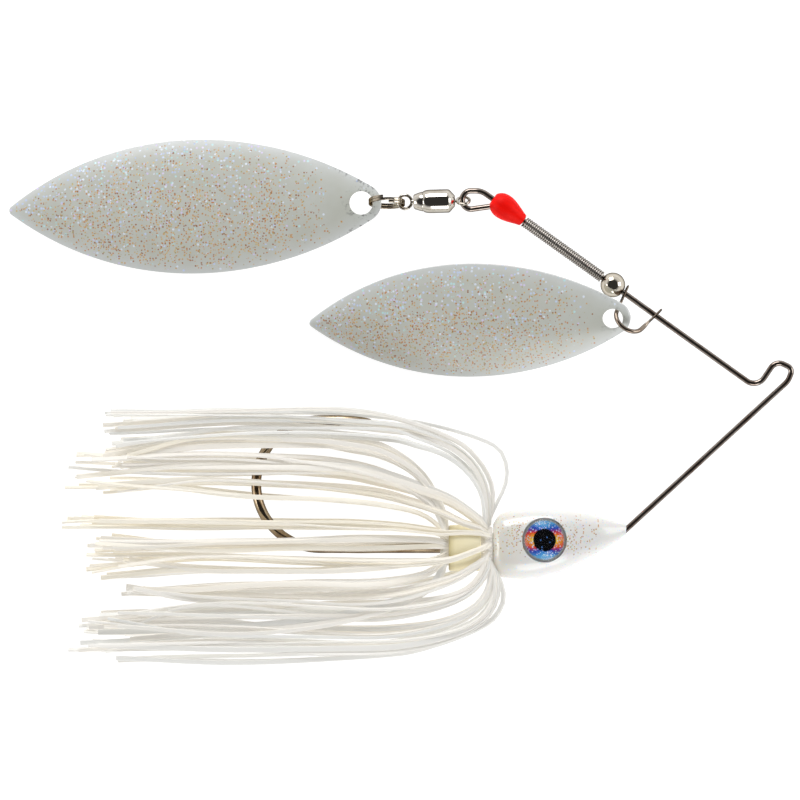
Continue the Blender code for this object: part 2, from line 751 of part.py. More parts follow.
def build_swivel(chain):
    """A ball-bearing swivel: a hollow barrel with a fixed front eye, and a rear eye that turns on balls."""
    rear, front = -BARREL_REAR, -BARREL_FRONT
    outside = [
        (rear, 1.1),
        (rear + 0.12, 1.2),
        (rear + 1.45, 1.62),
        (rear + 1.52, 1.52),
        (rear + 1.6, 1.66),
        (rear + 2.1, 1.85),
        (rear + 2.6, BARREL_R),
        (front - 0.9, BARREL_R),
        (front - 0.1, 0.95),
        (front, 0.8),
    ]
    stem_r = 0.28
    inside = [
        (front, stem_r + 0.05),
        (-CAVITY_FRONT, stem_r + 0.05),
        (-CAVITY_FRONT, CAVITY_R),
        (-CAVITY_REAR, CAVITY_R),
        (-CAVITY_REAR, SHAFT_R + RUNNING_GAP),
        (rear, SHAFT_R + RUNNING_GAP),
    ]
    plate = paint("swivel_barrel", (0.74, 0.72, 0.68), 0.15, 1.0)
    place(solid("swivel_barrel", turned(outside + inside), plate), parent=chain)

    front_paint = paint("swivel_front_eye", (0.70, 0.68, 0.64), 0.18, 1.0)
    front_eye = solid("swivel_front_eye", torus(EYE_RING_R, EYE_WIRE_R), front_paint)
    place(front_eye, (-FRONT_EYE_AT, 0, 0), rotation(FRONT_EYE_TWIST - 90, "X"), chain)
    lock = -CAVITY_FRONT + FRONT_EYE_AT - 0.04
    stem_profile = [
        (-EYE_RING_R, 0),
        (-EYE_RING_R, stem_r),
        (lock, stem_r),
        (lock, 0.7),
        (lock - 0.4, 0.7),
        (lock - 0.4, 0),
    ]
    stem = turned(stem_profile, 12, hollow=False)
    boolean(front_eye, place(solid("front_stem_tool", stem), parent=front_eye), "UNION")

    rear_paint = paint("swivel_rear_eye", (0.70, 0.68, 0.64), 0.18, 1.0)
    rear_eye = solid("swivel_rear_eye", torus(REAR_EYE_RING_R, EYE_WIRE_R), rear_paint)
    place(rear_eye, (-REAR_EYE_AT, 0, 0), None, chain)
    flange = REAR_EYE_AT - BALL_AT + BALL_R + 0.04
    shaft = turned(
        [
            (REAR_EYE_RING_R, 0),
            (REAR_EYE_RING_R, SHAFT_R),
            (flange, SHAFT_R),
            (flange, FLANGE_R),
            (flange + 0.55, FLANGE_R),
            (flange + 0.55, 0),
        ],
        16,
        hollow=False,
    )
    boolean(rear_eye, place(solid("rear_shaft_tool", shaft), parent=rear_eye), "UNION")

    for number in range(1, BALL_COUNT + 1):
        angle = 2 * math.pi * number / BALL_COUNT
        name = f"swivel_ball_{number}"
        bm = bmesh.new()
        bmesh.ops.create_icosphere(bm, subdivisions=1, radius=BALL_R)
        ball = solid(name, bm, paint(name, (0.78, 0.78, 0.78), 0.1, 1.0), 80)
        y, z = BALL_CIRCLE_R * math.cos(angle), BALL_CIRCLE_R * math.sin(angle)
        place(ball, (-BALL_AT, y, z), None, chain)


def build_large_blade(chain):
    """The split ring stands on edge through the swivel's rear eye and the blade's hole."""
    half = RING_WIRE / math.sqrt(2)
    section = [(r, a) for r, a in polygon(4, half, half)]
    turned_section = [((r - a) / math.sqrt(2), (r + a) / math.sqrt(2)) for r, a in section]
    bm = coil(RING_R, RING_PITCH, RING_TURNS, turned_section, 24)
    bmesh.ops.translate(bm, vec=(-RING_PITCH * RING_TURNS / 2, 0, 0), verts=bm.verts)
    bmesh.ops.rotate(bm, matrix=rotation(100, "X"), verts=bm.verts)
    ring = solid("split_ring", bm, paint("split_ring", (0.66, 0.63, 0.58), 0.2, 1.0))
    place(ring, (-RING_AT, 0, 0), rotation(RING_TILT, "X") @ rotation(90, "Z"), chain)

    hole = (-LARGE_HOLE_AT, 0, -blade_middle(1.0))
    build_blade("large_blade", 1.0, hole, None, chain)


def build_chain():
    loop = arm_point(ARM_LENGTH)
    at = Vector((loop.x - LOOP_LENGTH, loop.y - LOOP_WIDTH / 2, 0))
    chain = pivot("swivel_pivot", at, rotation(CHAIN_YAW, "Z") @ rotation(-CHAIN_DROOP, "Y"))
    build_swivel(chain)
    build_large_blade(chain)


def main():
    clear_scene()
    build_wire()
    build_hook()
    build_head()
    build_eyes()
    build_skirt()
    build_tag_sleeve()
    build_arm_pieces()
    build_small_blade(build_clevis())
    build_chain()


main()
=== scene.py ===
"""Looks of a double willow-leaf spinnerbait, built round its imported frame.

Lengths in this file are millimetres and angles are degrees, in the row frame, unless a name says otherwise.
"""

import math
import random

import bmesh
import bpy
import numpy as np
from mathutils import Matrix, Vector

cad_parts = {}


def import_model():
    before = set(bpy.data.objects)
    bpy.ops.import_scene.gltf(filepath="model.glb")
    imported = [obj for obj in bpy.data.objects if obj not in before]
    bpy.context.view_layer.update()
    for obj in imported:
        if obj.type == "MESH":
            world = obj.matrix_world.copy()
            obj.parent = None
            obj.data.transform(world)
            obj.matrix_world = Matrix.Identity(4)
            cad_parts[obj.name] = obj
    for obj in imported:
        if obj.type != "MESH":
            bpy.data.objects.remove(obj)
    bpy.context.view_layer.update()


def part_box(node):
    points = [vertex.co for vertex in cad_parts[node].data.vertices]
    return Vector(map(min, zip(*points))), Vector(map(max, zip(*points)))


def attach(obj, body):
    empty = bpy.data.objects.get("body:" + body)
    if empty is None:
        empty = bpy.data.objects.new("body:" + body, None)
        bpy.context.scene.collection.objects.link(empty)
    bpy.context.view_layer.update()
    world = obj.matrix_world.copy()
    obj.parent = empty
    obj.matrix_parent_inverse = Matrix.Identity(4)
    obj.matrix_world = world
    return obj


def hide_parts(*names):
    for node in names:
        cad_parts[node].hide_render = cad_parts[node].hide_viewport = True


MM = 0.001

# camera: straight down on the lure's side
VIEW_WIDTH = 129.6
VIEW_CENTRE = (-61.88, -4.54)
VIEW_LEVEL = -1.5
CAMERA_HEIGHT = 1500.0
SENSOR = 36.0

# light: the sky's greys from the horizon up, and each lamp's name, place, width and watts
SKY = ((0.4, 1.0), (0.54, 0.55), (0.7, 0.05))
SKY_STRENGTH = 0.93
LAMPS = (
    ("key", (-100, 470, 240), 300, 1.55),
    ("fill", (100, -470, 240), 300, 0.98),
    ("left", (-490, -60, 220), 260, 0.72),
    ("right", (480, 80, 220), 260, 0.72),
)
FLOOR_HALF = 1500.0
FLOOR_GLOW = 0.8

# wire frame
WIRE_R = 0.45
LOWER_ARM_TOP = (0.94, -1.46)
TIE_FRONT = (1.68, 0.56)
TIE_REAR = (-1.06, 1.84)
VALLEY = Vector((-4.09, -2.655, 0.0))
ARM_ANGLE = 144.36
ARM_LENGTH = 54.88
LOOP_LENGTH = 3.1
LOOP_WIDTH = 3.2
LOOP_R = 1.4
TAG_GAP = 1.10
TAG_LENGTH = 2.8
TAG_AT = 52.1
HEAD_ENTRY = (-26.4, -26.53)
WIRE_BENDS = (0.9, 1.5, 1.5, 3.0, 1.0, 1.6, 2.0, 3.0, LOOP_R, LOOP_R, 0.8)

# on the upper arm: distances from the valley bend
CLEVIS_AT = 23.3
BEAD_AT = 28.72
BEAD_R = 2.0
SPRING_FROM = 30.8
SPRING_LENGTH = 15.6
SPRING_TURNS = 42
SPRING_R = 0.76
SPRING_WIRE_R = 0.15
SLEEVE_FROM = 46.5
SLEEVE_LENGTH = 6.1
SLEEVE_R = 2.05

# head and hook
SHANK_Y = -28.5
HEAD_REAR = -46.8
HEAD_STATIONS = (
    (0.0, 3.9, -3.7, 3.3),
    (0.9, 5.3, -4.5, 4.05),
    (2.4, 5.95, -4.9, 4.4),
    (5.5, 6.45, -5.05, 4.65),
    (9.5, 6.5, -4.3, 4.7),
    (13.0, 6.25, -2.95, 4.35),
    (16.7, 5.5, -1.1, 3.3),
    (19.5, 4.55, 0.6, 2.05),
    (21.5, 3.95, 2.1, 0.95),
)
HEAD_SQUARENESS = 2.4
KEEPER_R = 2.2
KEEPER_LENGTH = 8.6
EYE_FROM_REAR = 8.24
EYE_ABOVE_SHANK = 1.36
EYE_SEAT_R = 3.6
EYE_SEAT_Z = 3.6
EYE_R = 3.45
EYE_FOIL = 0.2
EYE_RIM = 0.3
EYE_DOME = 1.12
EYE_GAP = 0.03
HOOK_R = 0.8
HOOK_EYE_X = -37.2
HOOK_EYE_R = 1.7
HOOK_EYE_TURN = 285.0
HOOK_BEND_X = -74.8
HOOK_BEND_R = 10.35
HOOK_POINT_X = -66.3
HOOK_TAPER = 5.5
BARB_ROOT_X = -71.2
BARB_TIP = (-74.6, 1.95)

# skirt
COLLAR_FRONT = -48.8
COLLAR_LENGTH = 5.2
COLLAR_R = 3.8
COLLAR_WALL = 0.9
STRAND_THICKNESS = 0.36
STRAND_HALF_WIDTHS = (0.26, 0.32, 0.4, 0.48)
STRAND_DENSITY = 1.8
STRAND_SEED = 11

# clevis
CLEVIS_LIFT = 42.0
CLEVIS_WIRE_R = 0.35
CLEVIS_TOP = 3.3
CLEVIS_BOTTOM = 2.15
CLEVIS_DEPTH = 6.3
CLEVIS_EAR = 1.6
CLEVIS_BEND_R = 2.4
EAR_WIDTH = 1.7
EAR_THICKNESS = 0.32
EAR_END = 3.6
EAR_BLEND = 1.8
CLEVIS_CONTACT = 7.05

# blades
BLADE_HALF_WIDTH = 10.85
BLADE_TIP_FLANK_R = 49.4
BLADE_EYE_FLANK_R = 54.1
BLADE_TIP_R = 0.8
BLADE_EYE_END_R = 3.1
BLADE_DOME = 2.3
BLADE_THICKNESS = 0.45
BLADE_HOLE_X = 26.9
BLADE_HOLE_R = 1.9
BLADE_STEPS = 30
SMALL_SCALE = 0.868
SMALL_PITCH = 8.72
SMALL_ROLL = 15.0
SMALL_YAW = 0.95
WIRE_IN_HOLE = (0.6, 0.35)

# swivel chain: distances from the end loop's wire
CHAIN_DROOP = 3.2
CHAIN_YAW = 1.2
BARREL_REAR = 7.9
BARREL_FRONT = 1.2
BARREL_R = 1.9
CAVITY_R = 1.35
CAVITY_FRONT = 2.3
CAVITY_REAR = 6.9
FRONT_EYE_AT = -0.15
FRONT_EYE_TWIST = 35.0
FRONT_EYE_RING_R = 1.0
EYE_WIRE_R = 0.245
FRONT_STEM_R = 0.26
LOCK_R = 0.7
LOCK_LENGTH = 0.4
REAR_EYE_AT = 9.3
REAR_EYE_RING_R = 1.1
SHAFT_R = 0.36
FLANGE_R = 1.25
FLANGE_LENGTH = 0.55
BALL_AT = 6.48
BALL_R = 0.38
RING_R = 2.75
RING_AT = 12.25
RING_TURNS = 1.95
RING_PITCH = 0.46
RING_WIRE = 0.42
RING_TILT = -12.0
LARGE_HOLE_AT = 16.42
RUNNING_GAP = 0.08
SHARP_ANGLE = 35.0
FLOOR_GAP = 0.12


# ---------------------------------------------------------------- shapes


def rotation(degrees, axis):
    return Matrix.Rotation(math.radians(degrees), 3, axis)


def placed(at, turn=None):
    """A 4x4 matrix from a place in millimetres and a 3x3 rotation."""
    matrix = (turn or Matrix.Identity(3)).to_4x4()
    matrix.translation = Vector(at) * MM
    return matrix


def skin(rings, closed=False):
    """Vertices and faces that join rings of points. A ring of one point is a tip."""
    verts, rows = [], []
    for ring in rings:
        rows.append(range(len(verts), len(verts) + len(ring)))
        verts.extend(ring)
    pairs = list(zip(rows, rows[1:]))
    if closed:
        pairs.append((rows[-1], rows[0]))
    faces = []
    for low, high in pairs:
        count = max(len(low), len(high))
        for k in range(count):
            after = (k + 1) % count
            corners = [low[k % len(low)], low[after % len(low)]]
            corners += [high[after % len(high)], high[k % len(high)]]
            faces.append(tuple(dict.fromkeys(corners)))
    if not closed:
        faces += [tuple(row) for row in (rows[0], rows[-1]) if len(row) > 2]
    return verts, faces


def polygon(sides, a, b, power=2.0):
    """Points of an ellipse, or of a squarer curve when power is over 2."""
    found = []
    for k in range(sides):
        angle = 2 * math.pi * k / sides
        c, s = math.cos(angle), math.sin(angle)
        x = math.copysign(abs(c) ** (2 / power), c)
        y = math.copysign(abs(s) ** (2 / power), s)
        found.append((a * x, b * y))
    return found


def rounded_path(corners, radii, step=6.0):
    """Points along straight runs through the corners, with each inner corner rounded to its radius."""
    corners = [Vector(c) for c in corners]
    points = [corners[0]]
    for before, corner, after, radius in zip(corners, corners[1:], corners[2:], radii):
        arrive = (corner - before).normalized()
        leave = (after - corner).normalized()
        turn = arrive.angle(leave)
        start = corner - arrive * radius * math.tan(turn / 2)
        inward = (leave - arrive * arrive.dot(leave)).normalized()
        centre = start + inward * radius
        steps = max(3, round(math.degrees(turn) / step))
        for k in range(steps + 1):
            angle = turn * k / steps
            points.append(centre + radius * (arrive * math.sin(angle) - inward * math.cos(angle)))
    points.append(corners[-1])
    return points


def tangents(points, closed=False):
    count = len(points)
    found = []
    for k in range(count):
        before = points[k - 1] if k or closed else points[0]
        after = points[(k + 1) % count] if k + 1 < count or closed else points[-1]
        found.append((after - before).normalized())
    return found


def sweep(points, sections, side, closed=False):
    """Carries sections of (across, side) offsets along a path. The side direction follows the path."""
    rings = []
    for point, ahead, section in zip(points, tangents(points, closed), sections):
        side = (side - ahead * ahead.dot(side)).normalized()
        across = side.cross(ahead)
        rings.append([point + across * a + side * b for a, b in section])
    return skin(rings, closed)


def tube(points, radius, sides=16):
    """A round wire along a path. The radius may be a list."""
    radii = radius if isinstance(radius, list) else [radius] * len(points)
    side = Vector((0, 0, 1))
    if abs((points[1] - points[0]).normalized().z) > 0.9:
        side = Vector((1, 0, 0))
    return sweep(points, [polygon(sides, r, r) for r in radii], side)


def torus(radius, wire, steps=48, sides=16):
    circle = []
    for k in range(steps):
        angle = 2 * math.pi * k / steps
        circle.append(Vector((radius * math.cos(angle), radius * math.sin(angle), 0)))
    return sweep(circle, [polygon(sides, wire, wire)] * steps, Vector((0, 0, 1)), closed=True)


def coil(radius, pitch, turns, section, steps_per_turn):
    """A helix about the X axis, from x = 0, with a section of (radial, axial) offsets."""
    rings = []
    for k in range(round(turns * steps_per_turn) + 1):
        angle = 2 * math.pi * k / steps_per_turn
        out = Vector((0, math.cos(angle), math.sin(angle)))
        start = Vector((pitch * k / steps_per_turn, 0, 0))
        rings.append([start + out * (radius + r) + Vector((a, 0, 0)) for r, a in section])
    return skin(rings)


def turned(profile, segments=48, hollow=True):
    """Turns (x, radius) points about the X axis. A hollow profile closes on itself."""
    rings = []
    for x, r in profile:
        if r == 0:
            rings.append([Vector((x, 0, 0))])
            continue
        angles = [2 * math.pi * k / segments for k in range(segments)]
        rings.append([Vector((x, r * math.cos(t), r * math.sin(t))) for t in angles])
    return skin(rings, closed=hollow)


def arc_profile(radius, low, high, steps):
    """(x, r) points on a circle about the origin, between two angles from +X."""
    found = []
    for k in range(steps + 1):
        angle = math.radians(low + (high - low) * k / steps)
        found.append((radius * math.cos(angle), radius * math.sin(angle)))
    return found


def interpolate(stations, at):
    """A smooth curve through rows of values, read at one value of their first column."""
    last = len(stations) - 2
    index = max(k for k in range(last + 1) if k == 0 or stations[k][0] <= at)
    rows = [stations[min(max(index + k, 0), last + 1)] for k in (-1, 0, 1, 2)]
    x0, x1, x2, x3 = (row[0] for row in rows)
    span = x2 - x1
    t = (at - x1) / span
    found = []
    for y0, y1, y2, y3 in zip(*(row[1:] for row in rows)):
        rise1 = (y2 - y0) / (x2 - x0) * span
        rise2 = (y3 - y1) / (x3 - x1) * span
        found.append(
            (2 * t**3 - 3 * t**2 + 1) * y1
            + (t**3 - 2 * t**2 + t) * rise1
            + (3 * t**2 - 2 * t**3) * y2
            + (t**3 - t**2) * rise2
        )
    return found


def spline(points, count):
    """Evenly spaced points on a smooth curve through the given ones."""
    dense = []
    padded = [points[0] * 2 - points[1], *points, points[-1] * 2 - points[-2]]
    for p0, p1, p2, p3 in zip(padded, padded[1:], padded[2:], padded[3:]):
        for k in range(12):
            t = k / 12
            dense.append(
                0.5
                * (
                    2 * p1
                    + (p2 - p0) * t
                    + (2 * p0 - 5 * p1 + 4 * p2 - p3) * t**2
                    + (3 * p1 - p0 - 3 * p2 + p3) * t**3
                )
            )
    dense.append(points[-1])
    runs = [0.0]
    for start, end in zip(dense, dense[1:]):
        runs.append(runs[-1] + (end - start).length)
    found, k = [], 0
    for number in range(count):
        want = runs[-1] * number / (count - 1)
        while k < len(runs) - 2 and runs[k + 1] < want:
            k += 1
        found.append(dense[k].lerp(dense[k + 1], (want - runs[k]) / (runs[k + 1] - runs[k])))
    return found


def make(name, shape, mat, at=None, sharp=SHARP_ANGLE, attributes=None):
    """An object in metres from vertices and faces in millimetres."""
    verts, faces = shape
    mesh = bpy.data.meshes.new(name)
    mesh.from_pydata([tuple(Vector(v) * MM) for v in verts], [], faces)
    for key, values in (attributes or {}).items():
        mesh.attributes.new(key, "FLOAT", "POINT").data.foreach_set("value", values)
    mesh.update()
    obj = bpy.data.objects.new(name, mesh)
    bpy.context.scene.collection.objects.link(obj)
    if at is not None:
        obj.matrix_world = at
    if mat:
        mesh.materials.append(mat)
    mesh.shade_smooth()
    mesh.set_sharp_from_angle(angle=math.radians(sharp))
    return obj


def outward(obj):
    """Turns every face outward."""
    bm = bmesh.new()
    bm.from_mesh(obj.data)
    bmesh.ops.recalc_face_normals(bm, faces=bm.faces)
    bm.to_mesh(obj.data)
    bm.free()
    return obj


def finish_mesh(obj, tools=(), added=(), bevel=0.0):
    """Cuts away the tools, joins on the added solids, rounds the sharp edges and applies it all."""
    for operation, others in (("DIFFERENCE", tools), ("UNION", added)):
        for other in others:
            outward(other)
            change = obj.modifiers.new(other.name, "BOOLEAN")
            change.operation, change.solver, change.object = operation, "EXACT", other
    if bevel:
        edge = obj.modifiers.new("edge", "BEVEL")
        edge.width, edge.segments = bevel * MM, 2
        edge.limit_method, edge.angle_limit = "ANGLE", math.radians(50)
    bpy.context.view_layer.update()
    evaluated = obj.evaluated_get(bpy.context.evaluated_depsgraph_get())
    mesh = bpy.data.meshes.new_from_object(evaluated)
    obj.modifiers.clear()
    obj.data = mesh
    mesh.shade_smooth()
    mesh.set_sharp_from_angle(angle=math.radians(SHARP_ANGLE))
    for other in (*tools, *added):
        bpy.data.objects.remove(other)


def piece(obj, body, slot, *nodes):
    """Puts a finished piece on its body, in place of the CAD nodes it stands for."""
    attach(obj, body)
    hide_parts(*nodes)


# ---------------------------------------------------------------- materials


def srgb(red, green, blue):
    """A linear colour with alpha from 0-255 values."""
    found = []
    for value in (red, green, blue):
        share = value / 255
        found.append(share / 12.92 if share <= 0.04045 else ((share + 0.055) / 1.055) ** 2.4)
    return (*found, 1.0)


class Paint:
    """A Principled material and short ways to add nodes to it."""

    def __init__(self, name, colour, roughness, **levels):
        self.mat = bpy.data.materials.new(name)
        self.mat.use_nodes = True
        self.tree = self.mat.node_tree
        self.shader = self.tree.nodes["Principled BSDF"]
        self.level("Base Color", colour)
        self.level("Roughness", roughness)
        for key, value in levels.items():
            self.level(key.replace("_", " "), value)
        self.coords = self.node("ShaderNodeTexCoord").outputs["Object"]

    def level(self, key, value):
        self.connect(value, self.shader.inputs[key])

    def connect(self, value, socket):
        if isinstance(value, bpy.types.NodeSocket):
            self.tree.links.new(value, socket)
        else:
            socket.default_value = value

    def node(self, kind, inputs=None, **props):
        made = self.tree.nodes.new(kind)
        for key, value in props.items():
            setattr(made, key, value)
        for key, value in (inputs or {}).items():
            self.connect(value, made.inputs[key])
        return made

    def math(self, operation, a, b=0.0, clamp=False):
        made = self.node("ShaderNodeMath", {0: a, 1: b}, operation=operation, use_clamp=clamp)
        return made.outputs[0]

    def times(self, a, b):
        return self.math("MULTIPLY", a, b)

    def minus(self, a, b):
        return self.math("SUBTRACT", a, b)

    def over(self, a, b):
        return self.math("DIVIDE", a, b)

    def centred(self, noise, amount):
        """Noise moved to run evenly either side of zero."""
        return self.times(self.minus(noise, 0.5), amount)

    def fade(self, value, low, high, start=0.0, end=1.0):
        """A straight change from start to end, as the value goes from low to high."""
        return self.ramp(value, [(low, start), (high, end)])

    def glowing(self, colour, glow):
        """Sets the colour, with a painted glow: a little light of its own that stands for what shines
        through, or for brighter lighting.
        """
        self.level("Base Color", colour)
        self.level("Emission Color", colour)
        self.level("Emission Strength", glow)

    def ramp(self, value, stops, steady=False):
        made = self.node("ShaderNodeValToRGB", {"Fac": value})
        made.color_ramp.interpolation = "CONSTANT" if steady else "LINEAR"
        elements = made.color_ramp.elements
        while len(elements) < len(stops):
            elements.new(0.5)
        for element, (place, colour) in zip(elements, stops):
            element.position = place
            element.color = colour if isinstance(colour, tuple) else (colour, colour, colour, 1)
        return made.outputs["Color"]

    def mix(self, share, a, b):
        made = self.node("ShaderNodeMix", {0: share, 6: a, 7: b}, data_type="RGBA")
        return made.outputs[2]

    def noise(self, size, detail=2.0, stretch=(1, 1, 1)):
        """Noise from 0 to 1 with features of a size in millimetres."""
        scaled = self.node("ShaderNodeVectorMath", {0: self.coords, 1: stretch}, operation="MULTIPLY")
        inputs = {"Vector": scaled.outputs[0], "Scale": 1 / (size * MM), "Detail": detail}
        return self.node("ShaderNodeTexNoise", inputs).outputs["Fac"]

    def bump(self, height, depth):
        """A bump of a depth in millimetres."""
        inputs = {"Height": height, "Distance": depth * MM, "Strength": 1.0}
        return self.node("ShaderNodeBump", inputs).outputs["Normal"]

    def attribute(self, name):
        return self.node("ShaderNodeAttribute", attribute_name=name).outputs["Fac"]

    def axis(self, letter):
        split = self.node("ShaderNodeSeparateXYZ", {0: self.coords})
        return split.outputs[letter]

    def flakes(self, cell, share, radius, shift):
        """A mask of round flakes, and three random values for each of them."""
        moved = self.node(
            "ShaderNodeVectorMath", {0: self.coords, 1: (shift * MM, 0.3 * shift * MM, 0)}, operation="ADD"
        )
        inputs = {"Vector": moved.outputs[0], "Scale": 1 / (cell * MM), "Randomness": 1.0}
        cells = self.node("ShaderNodeTexVoronoi", inputs)
        chance = self.node("ShaderNodeSeparateColor", {0: cells.outputs["Color"]})
        kept = self.math("LESS_THAN", chance.outputs[0], share)
        spot = self.math("LESS_THAN", cells.outputs["Distance"], radius / cell)
        return self.math("MULTIPLY", kept, spot), chance.outputs[1], chance.outputs[2]


# painted shade: a near-black edge tint, so that every metal's reflections darken towards its outline
PAINTED_EDGE_SHADE_TINT = (0.03, 0.03, 0.03, 1)


def metal(name, colour, roughness, scratch, grain, tarnish=None):
    """Plated or drawn metal with fine wear."""
    found = Paint(name, colour, roughness, Metallic=1.0, Specular_Tint=PAINTED_EDGE_SHADE_TINT)
    fine = found.noise(grain, 4.0)
    broad = found.noise(grain * 8, 3.0)
    found.level("Roughness", found.fade(broad, 0.3, 0.75, roughness * 0.75, roughness * 1.35))
    if tarnish:
        found.level("Base Color", found.mix(found.fade(broad, 0.4, 0.7), colour, tarnish))
    found.level("Normal", found.bump(fine, scratch * 0.1))
    return found.mat


GOLD = [
    (0.0, srgb(160, 104, 60)),
    (0.2, srgb(200, 136, 76)),
    (0.45, srgb(212, 164, 92)),
    (0.7, srgb(214, 184, 116)),
    (0.88, srgb(180, 166, 98)),
]
ICE = [
    (0.0, srgb(206, 220, 252)),
    (0.35, srgb(232, 240, 255)),
    (0.62, srgb(196, 236, 240)),
    (0.82, srgb(226, 214, 250)),
]


def tilted(paint, first, second, amount, flake):
    """The surface normal, tipped at random on each flake so that it glints."""
    tip = paint.node("ShaderNodeCombineXYZ", {0: first, 1: second, 2: 0.5})
    middle = (0.5, 0.5, 0.5)
    centred = paint.node("ShaderNodeVectorMath", {0: tip.outputs[0], 1: middle}, operation="SUBTRACT")
    size = paint.times(flake, amount)
    scaled = paint.node("ShaderNodeVectorMath", {0: centred.outputs[0], "Scale": size}, operation="SCALE")
    normal = paint.node("ShaderNodeNewGeometry").outputs["Normal"]
    added = paint.node("ShaderNodeVectorMath", {0: normal, 1: scaled.outputs[0]}, operation="ADD")
    return paint.node("ShaderNodeVectorMath", {0: added.outputs[0]}, operation="NORMALIZE").outputs[0]


def blade_paint(name, scuffs):
    """Pearl grey enamel, thick with gold and icy glitter except along the rim and round the hole."""
    paint = Paint(name, srgb(200, 203, 197), 0.42, Coat_Weight=0.35, Coat_Roughness=0.18)
    inner = paint.attribute("inner")
    ahead = paint.attribute("ahead")
    cloud = paint.noise(3.2, 3.0)
    # painted highlight: the enamel is painted paler towards the rim and greyer in the middle, for how light
    # falls on the domed blade
    rim_highlight = paint.ramp(inner, [(0.0, 1.0), (0.3, 0.35), (0.7, 0.0)])
    base = paint.mix(rim_highlight, srgb(192, 194, 185), srgb(208, 211, 210))
    base = paint.mix(paint.fade(cloud, 0.35, 0.75, 0.0, 0.22), base, srgb(214, 220, 222))

    where = paint.times(paint.fade(inner, 0.06, 0.42), ahead)
    where = paint.times(where, paint.attribute("low"))
    crowd = paint.times(where, paint.fade(cloud, 0.25, 0.6, 0.45, 1.0))
    gold, hue, lean = paint.flakes(0.46, paint.times(crowd, 0.85), 0.15, 0.0)
    fine, fine_hue, _ = paint.flakes(0.4, paint.times(crowd, 0.6), 0.14, 7.7)
    icy_where = paint.times(paint.fade(inner, 0.0, 0.2, 0.2, 1.0), paint.fade(ahead, 0.0, 1.0, 0.1, 1.0))
    icy_where = paint.times(icy_where, paint.attribute("high"))
    icy_crowd = paint.times(icy_where, paint.fade(paint.noise(2.0, 2.0), 0.4, 0.65, 0.25, 0.8))
    ice, ice_hue, _ = paint.flakes(0.5, icy_crowd, 0.2, 3.1)

    colour = paint.mix(paint.times(ice, 0.8), base, paint.ramp(ice_hue, ICE, True))
    colour = paint.mix(paint.times(fine, 0.75), colour, paint.ramp(fine_hue, GOLD, True))
    colour = paint.mix(paint.times(gold, 0.85), colour, paint.ramp(hue, GOLD, True))
    flake = paint.math("MAXIMUM", paint.math("MAXIMUM", gold, fine), ice)
    worn = paint.times(paint.attribute("wear"), paint.fade(paint.noise(0.55, 5.0), 0.56, 0.62))
    worn = paint.times(worn, scuffs)
    colour = paint.mix(worn, colour, srgb(74, 74, 76))
    paint.level("Base Color", colour)
    paint.level("Roughness", paint.mix(flake, (0.42, 0.42, 0.42, 1), (0.25, 0.25, 0.25, 1)))
    paint.level("Normal", tilted(paint, lean, hue, 0.3, flake))
    return paint.mat


def head_paint():
    """Pearl white enamel with gold glitter in a band fore and aft of the eyes, and painted shade towards the
    rear.
    """
    paint = Paint("pearl_head", srgb(236, 237, 233), 0.3, Coat_Weight=0.8, Coat_Roughness=0.06)
    paint.level("Subsurface Weight", 0.15)
    paint.level("Subsurface Scale", 1.5 * MM)
    x, y = paint.axis("X"), paint.axis("Y")
    from_eye = paint.minus(x, (HEAD_REAR + EYE_FROM_REAR) * MM)
    over_eye = paint.minus(y, (SHANK_Y + EYE_ABOVE_SHANK + 0.6) * MM)
    along = paint.fade(paint.over(paint.math("ABSOLUTE", from_eye), 10 * MM), 0.45, 0.95, 1.0, 0.0)
    across = paint.fade(paint.over(paint.math("ABSOLUTE", over_eye), 4.8 * MM), 0.25, 0.75, 1.0, 0.0)
    band = paint.times(along, across)
    gold, hue, lean = paint.flakes(0.36, paint.times(band, 0.95), 0.13, 0.0)
    ice, ice_hue, ice_lean = paint.flakes(0.34, 0.35, 0.12, 5.0)
    # painted shade: the head is painted darker and warmer towards its rear
    rear = paint.fade(paint.over(from_eye, -9 * MM), 0.3, 0.9)
    base = paint.mix(rear, srgb(237, 236, 232), srgb(225, 220, 205))
    base = paint.mix(paint.times(paint.noise(1.4, 3.0), 0.3), base, srgb(228, 230, 230))
    colour = paint.mix(paint.times(ice, 0.7), base, paint.ramp(ice_hue, ICE, True))
    colour = paint.mix(paint.times(gold, 0.85), colour, paint.ramp(hue, GOLD, True))
    flake = paint.math("MAXIMUM", gold, ice)
    paint.level("Base Color", colour)
    paint.level("Normal", tilted(paint, lean, ice_lean, 0.5, flake))
    return paint.mat


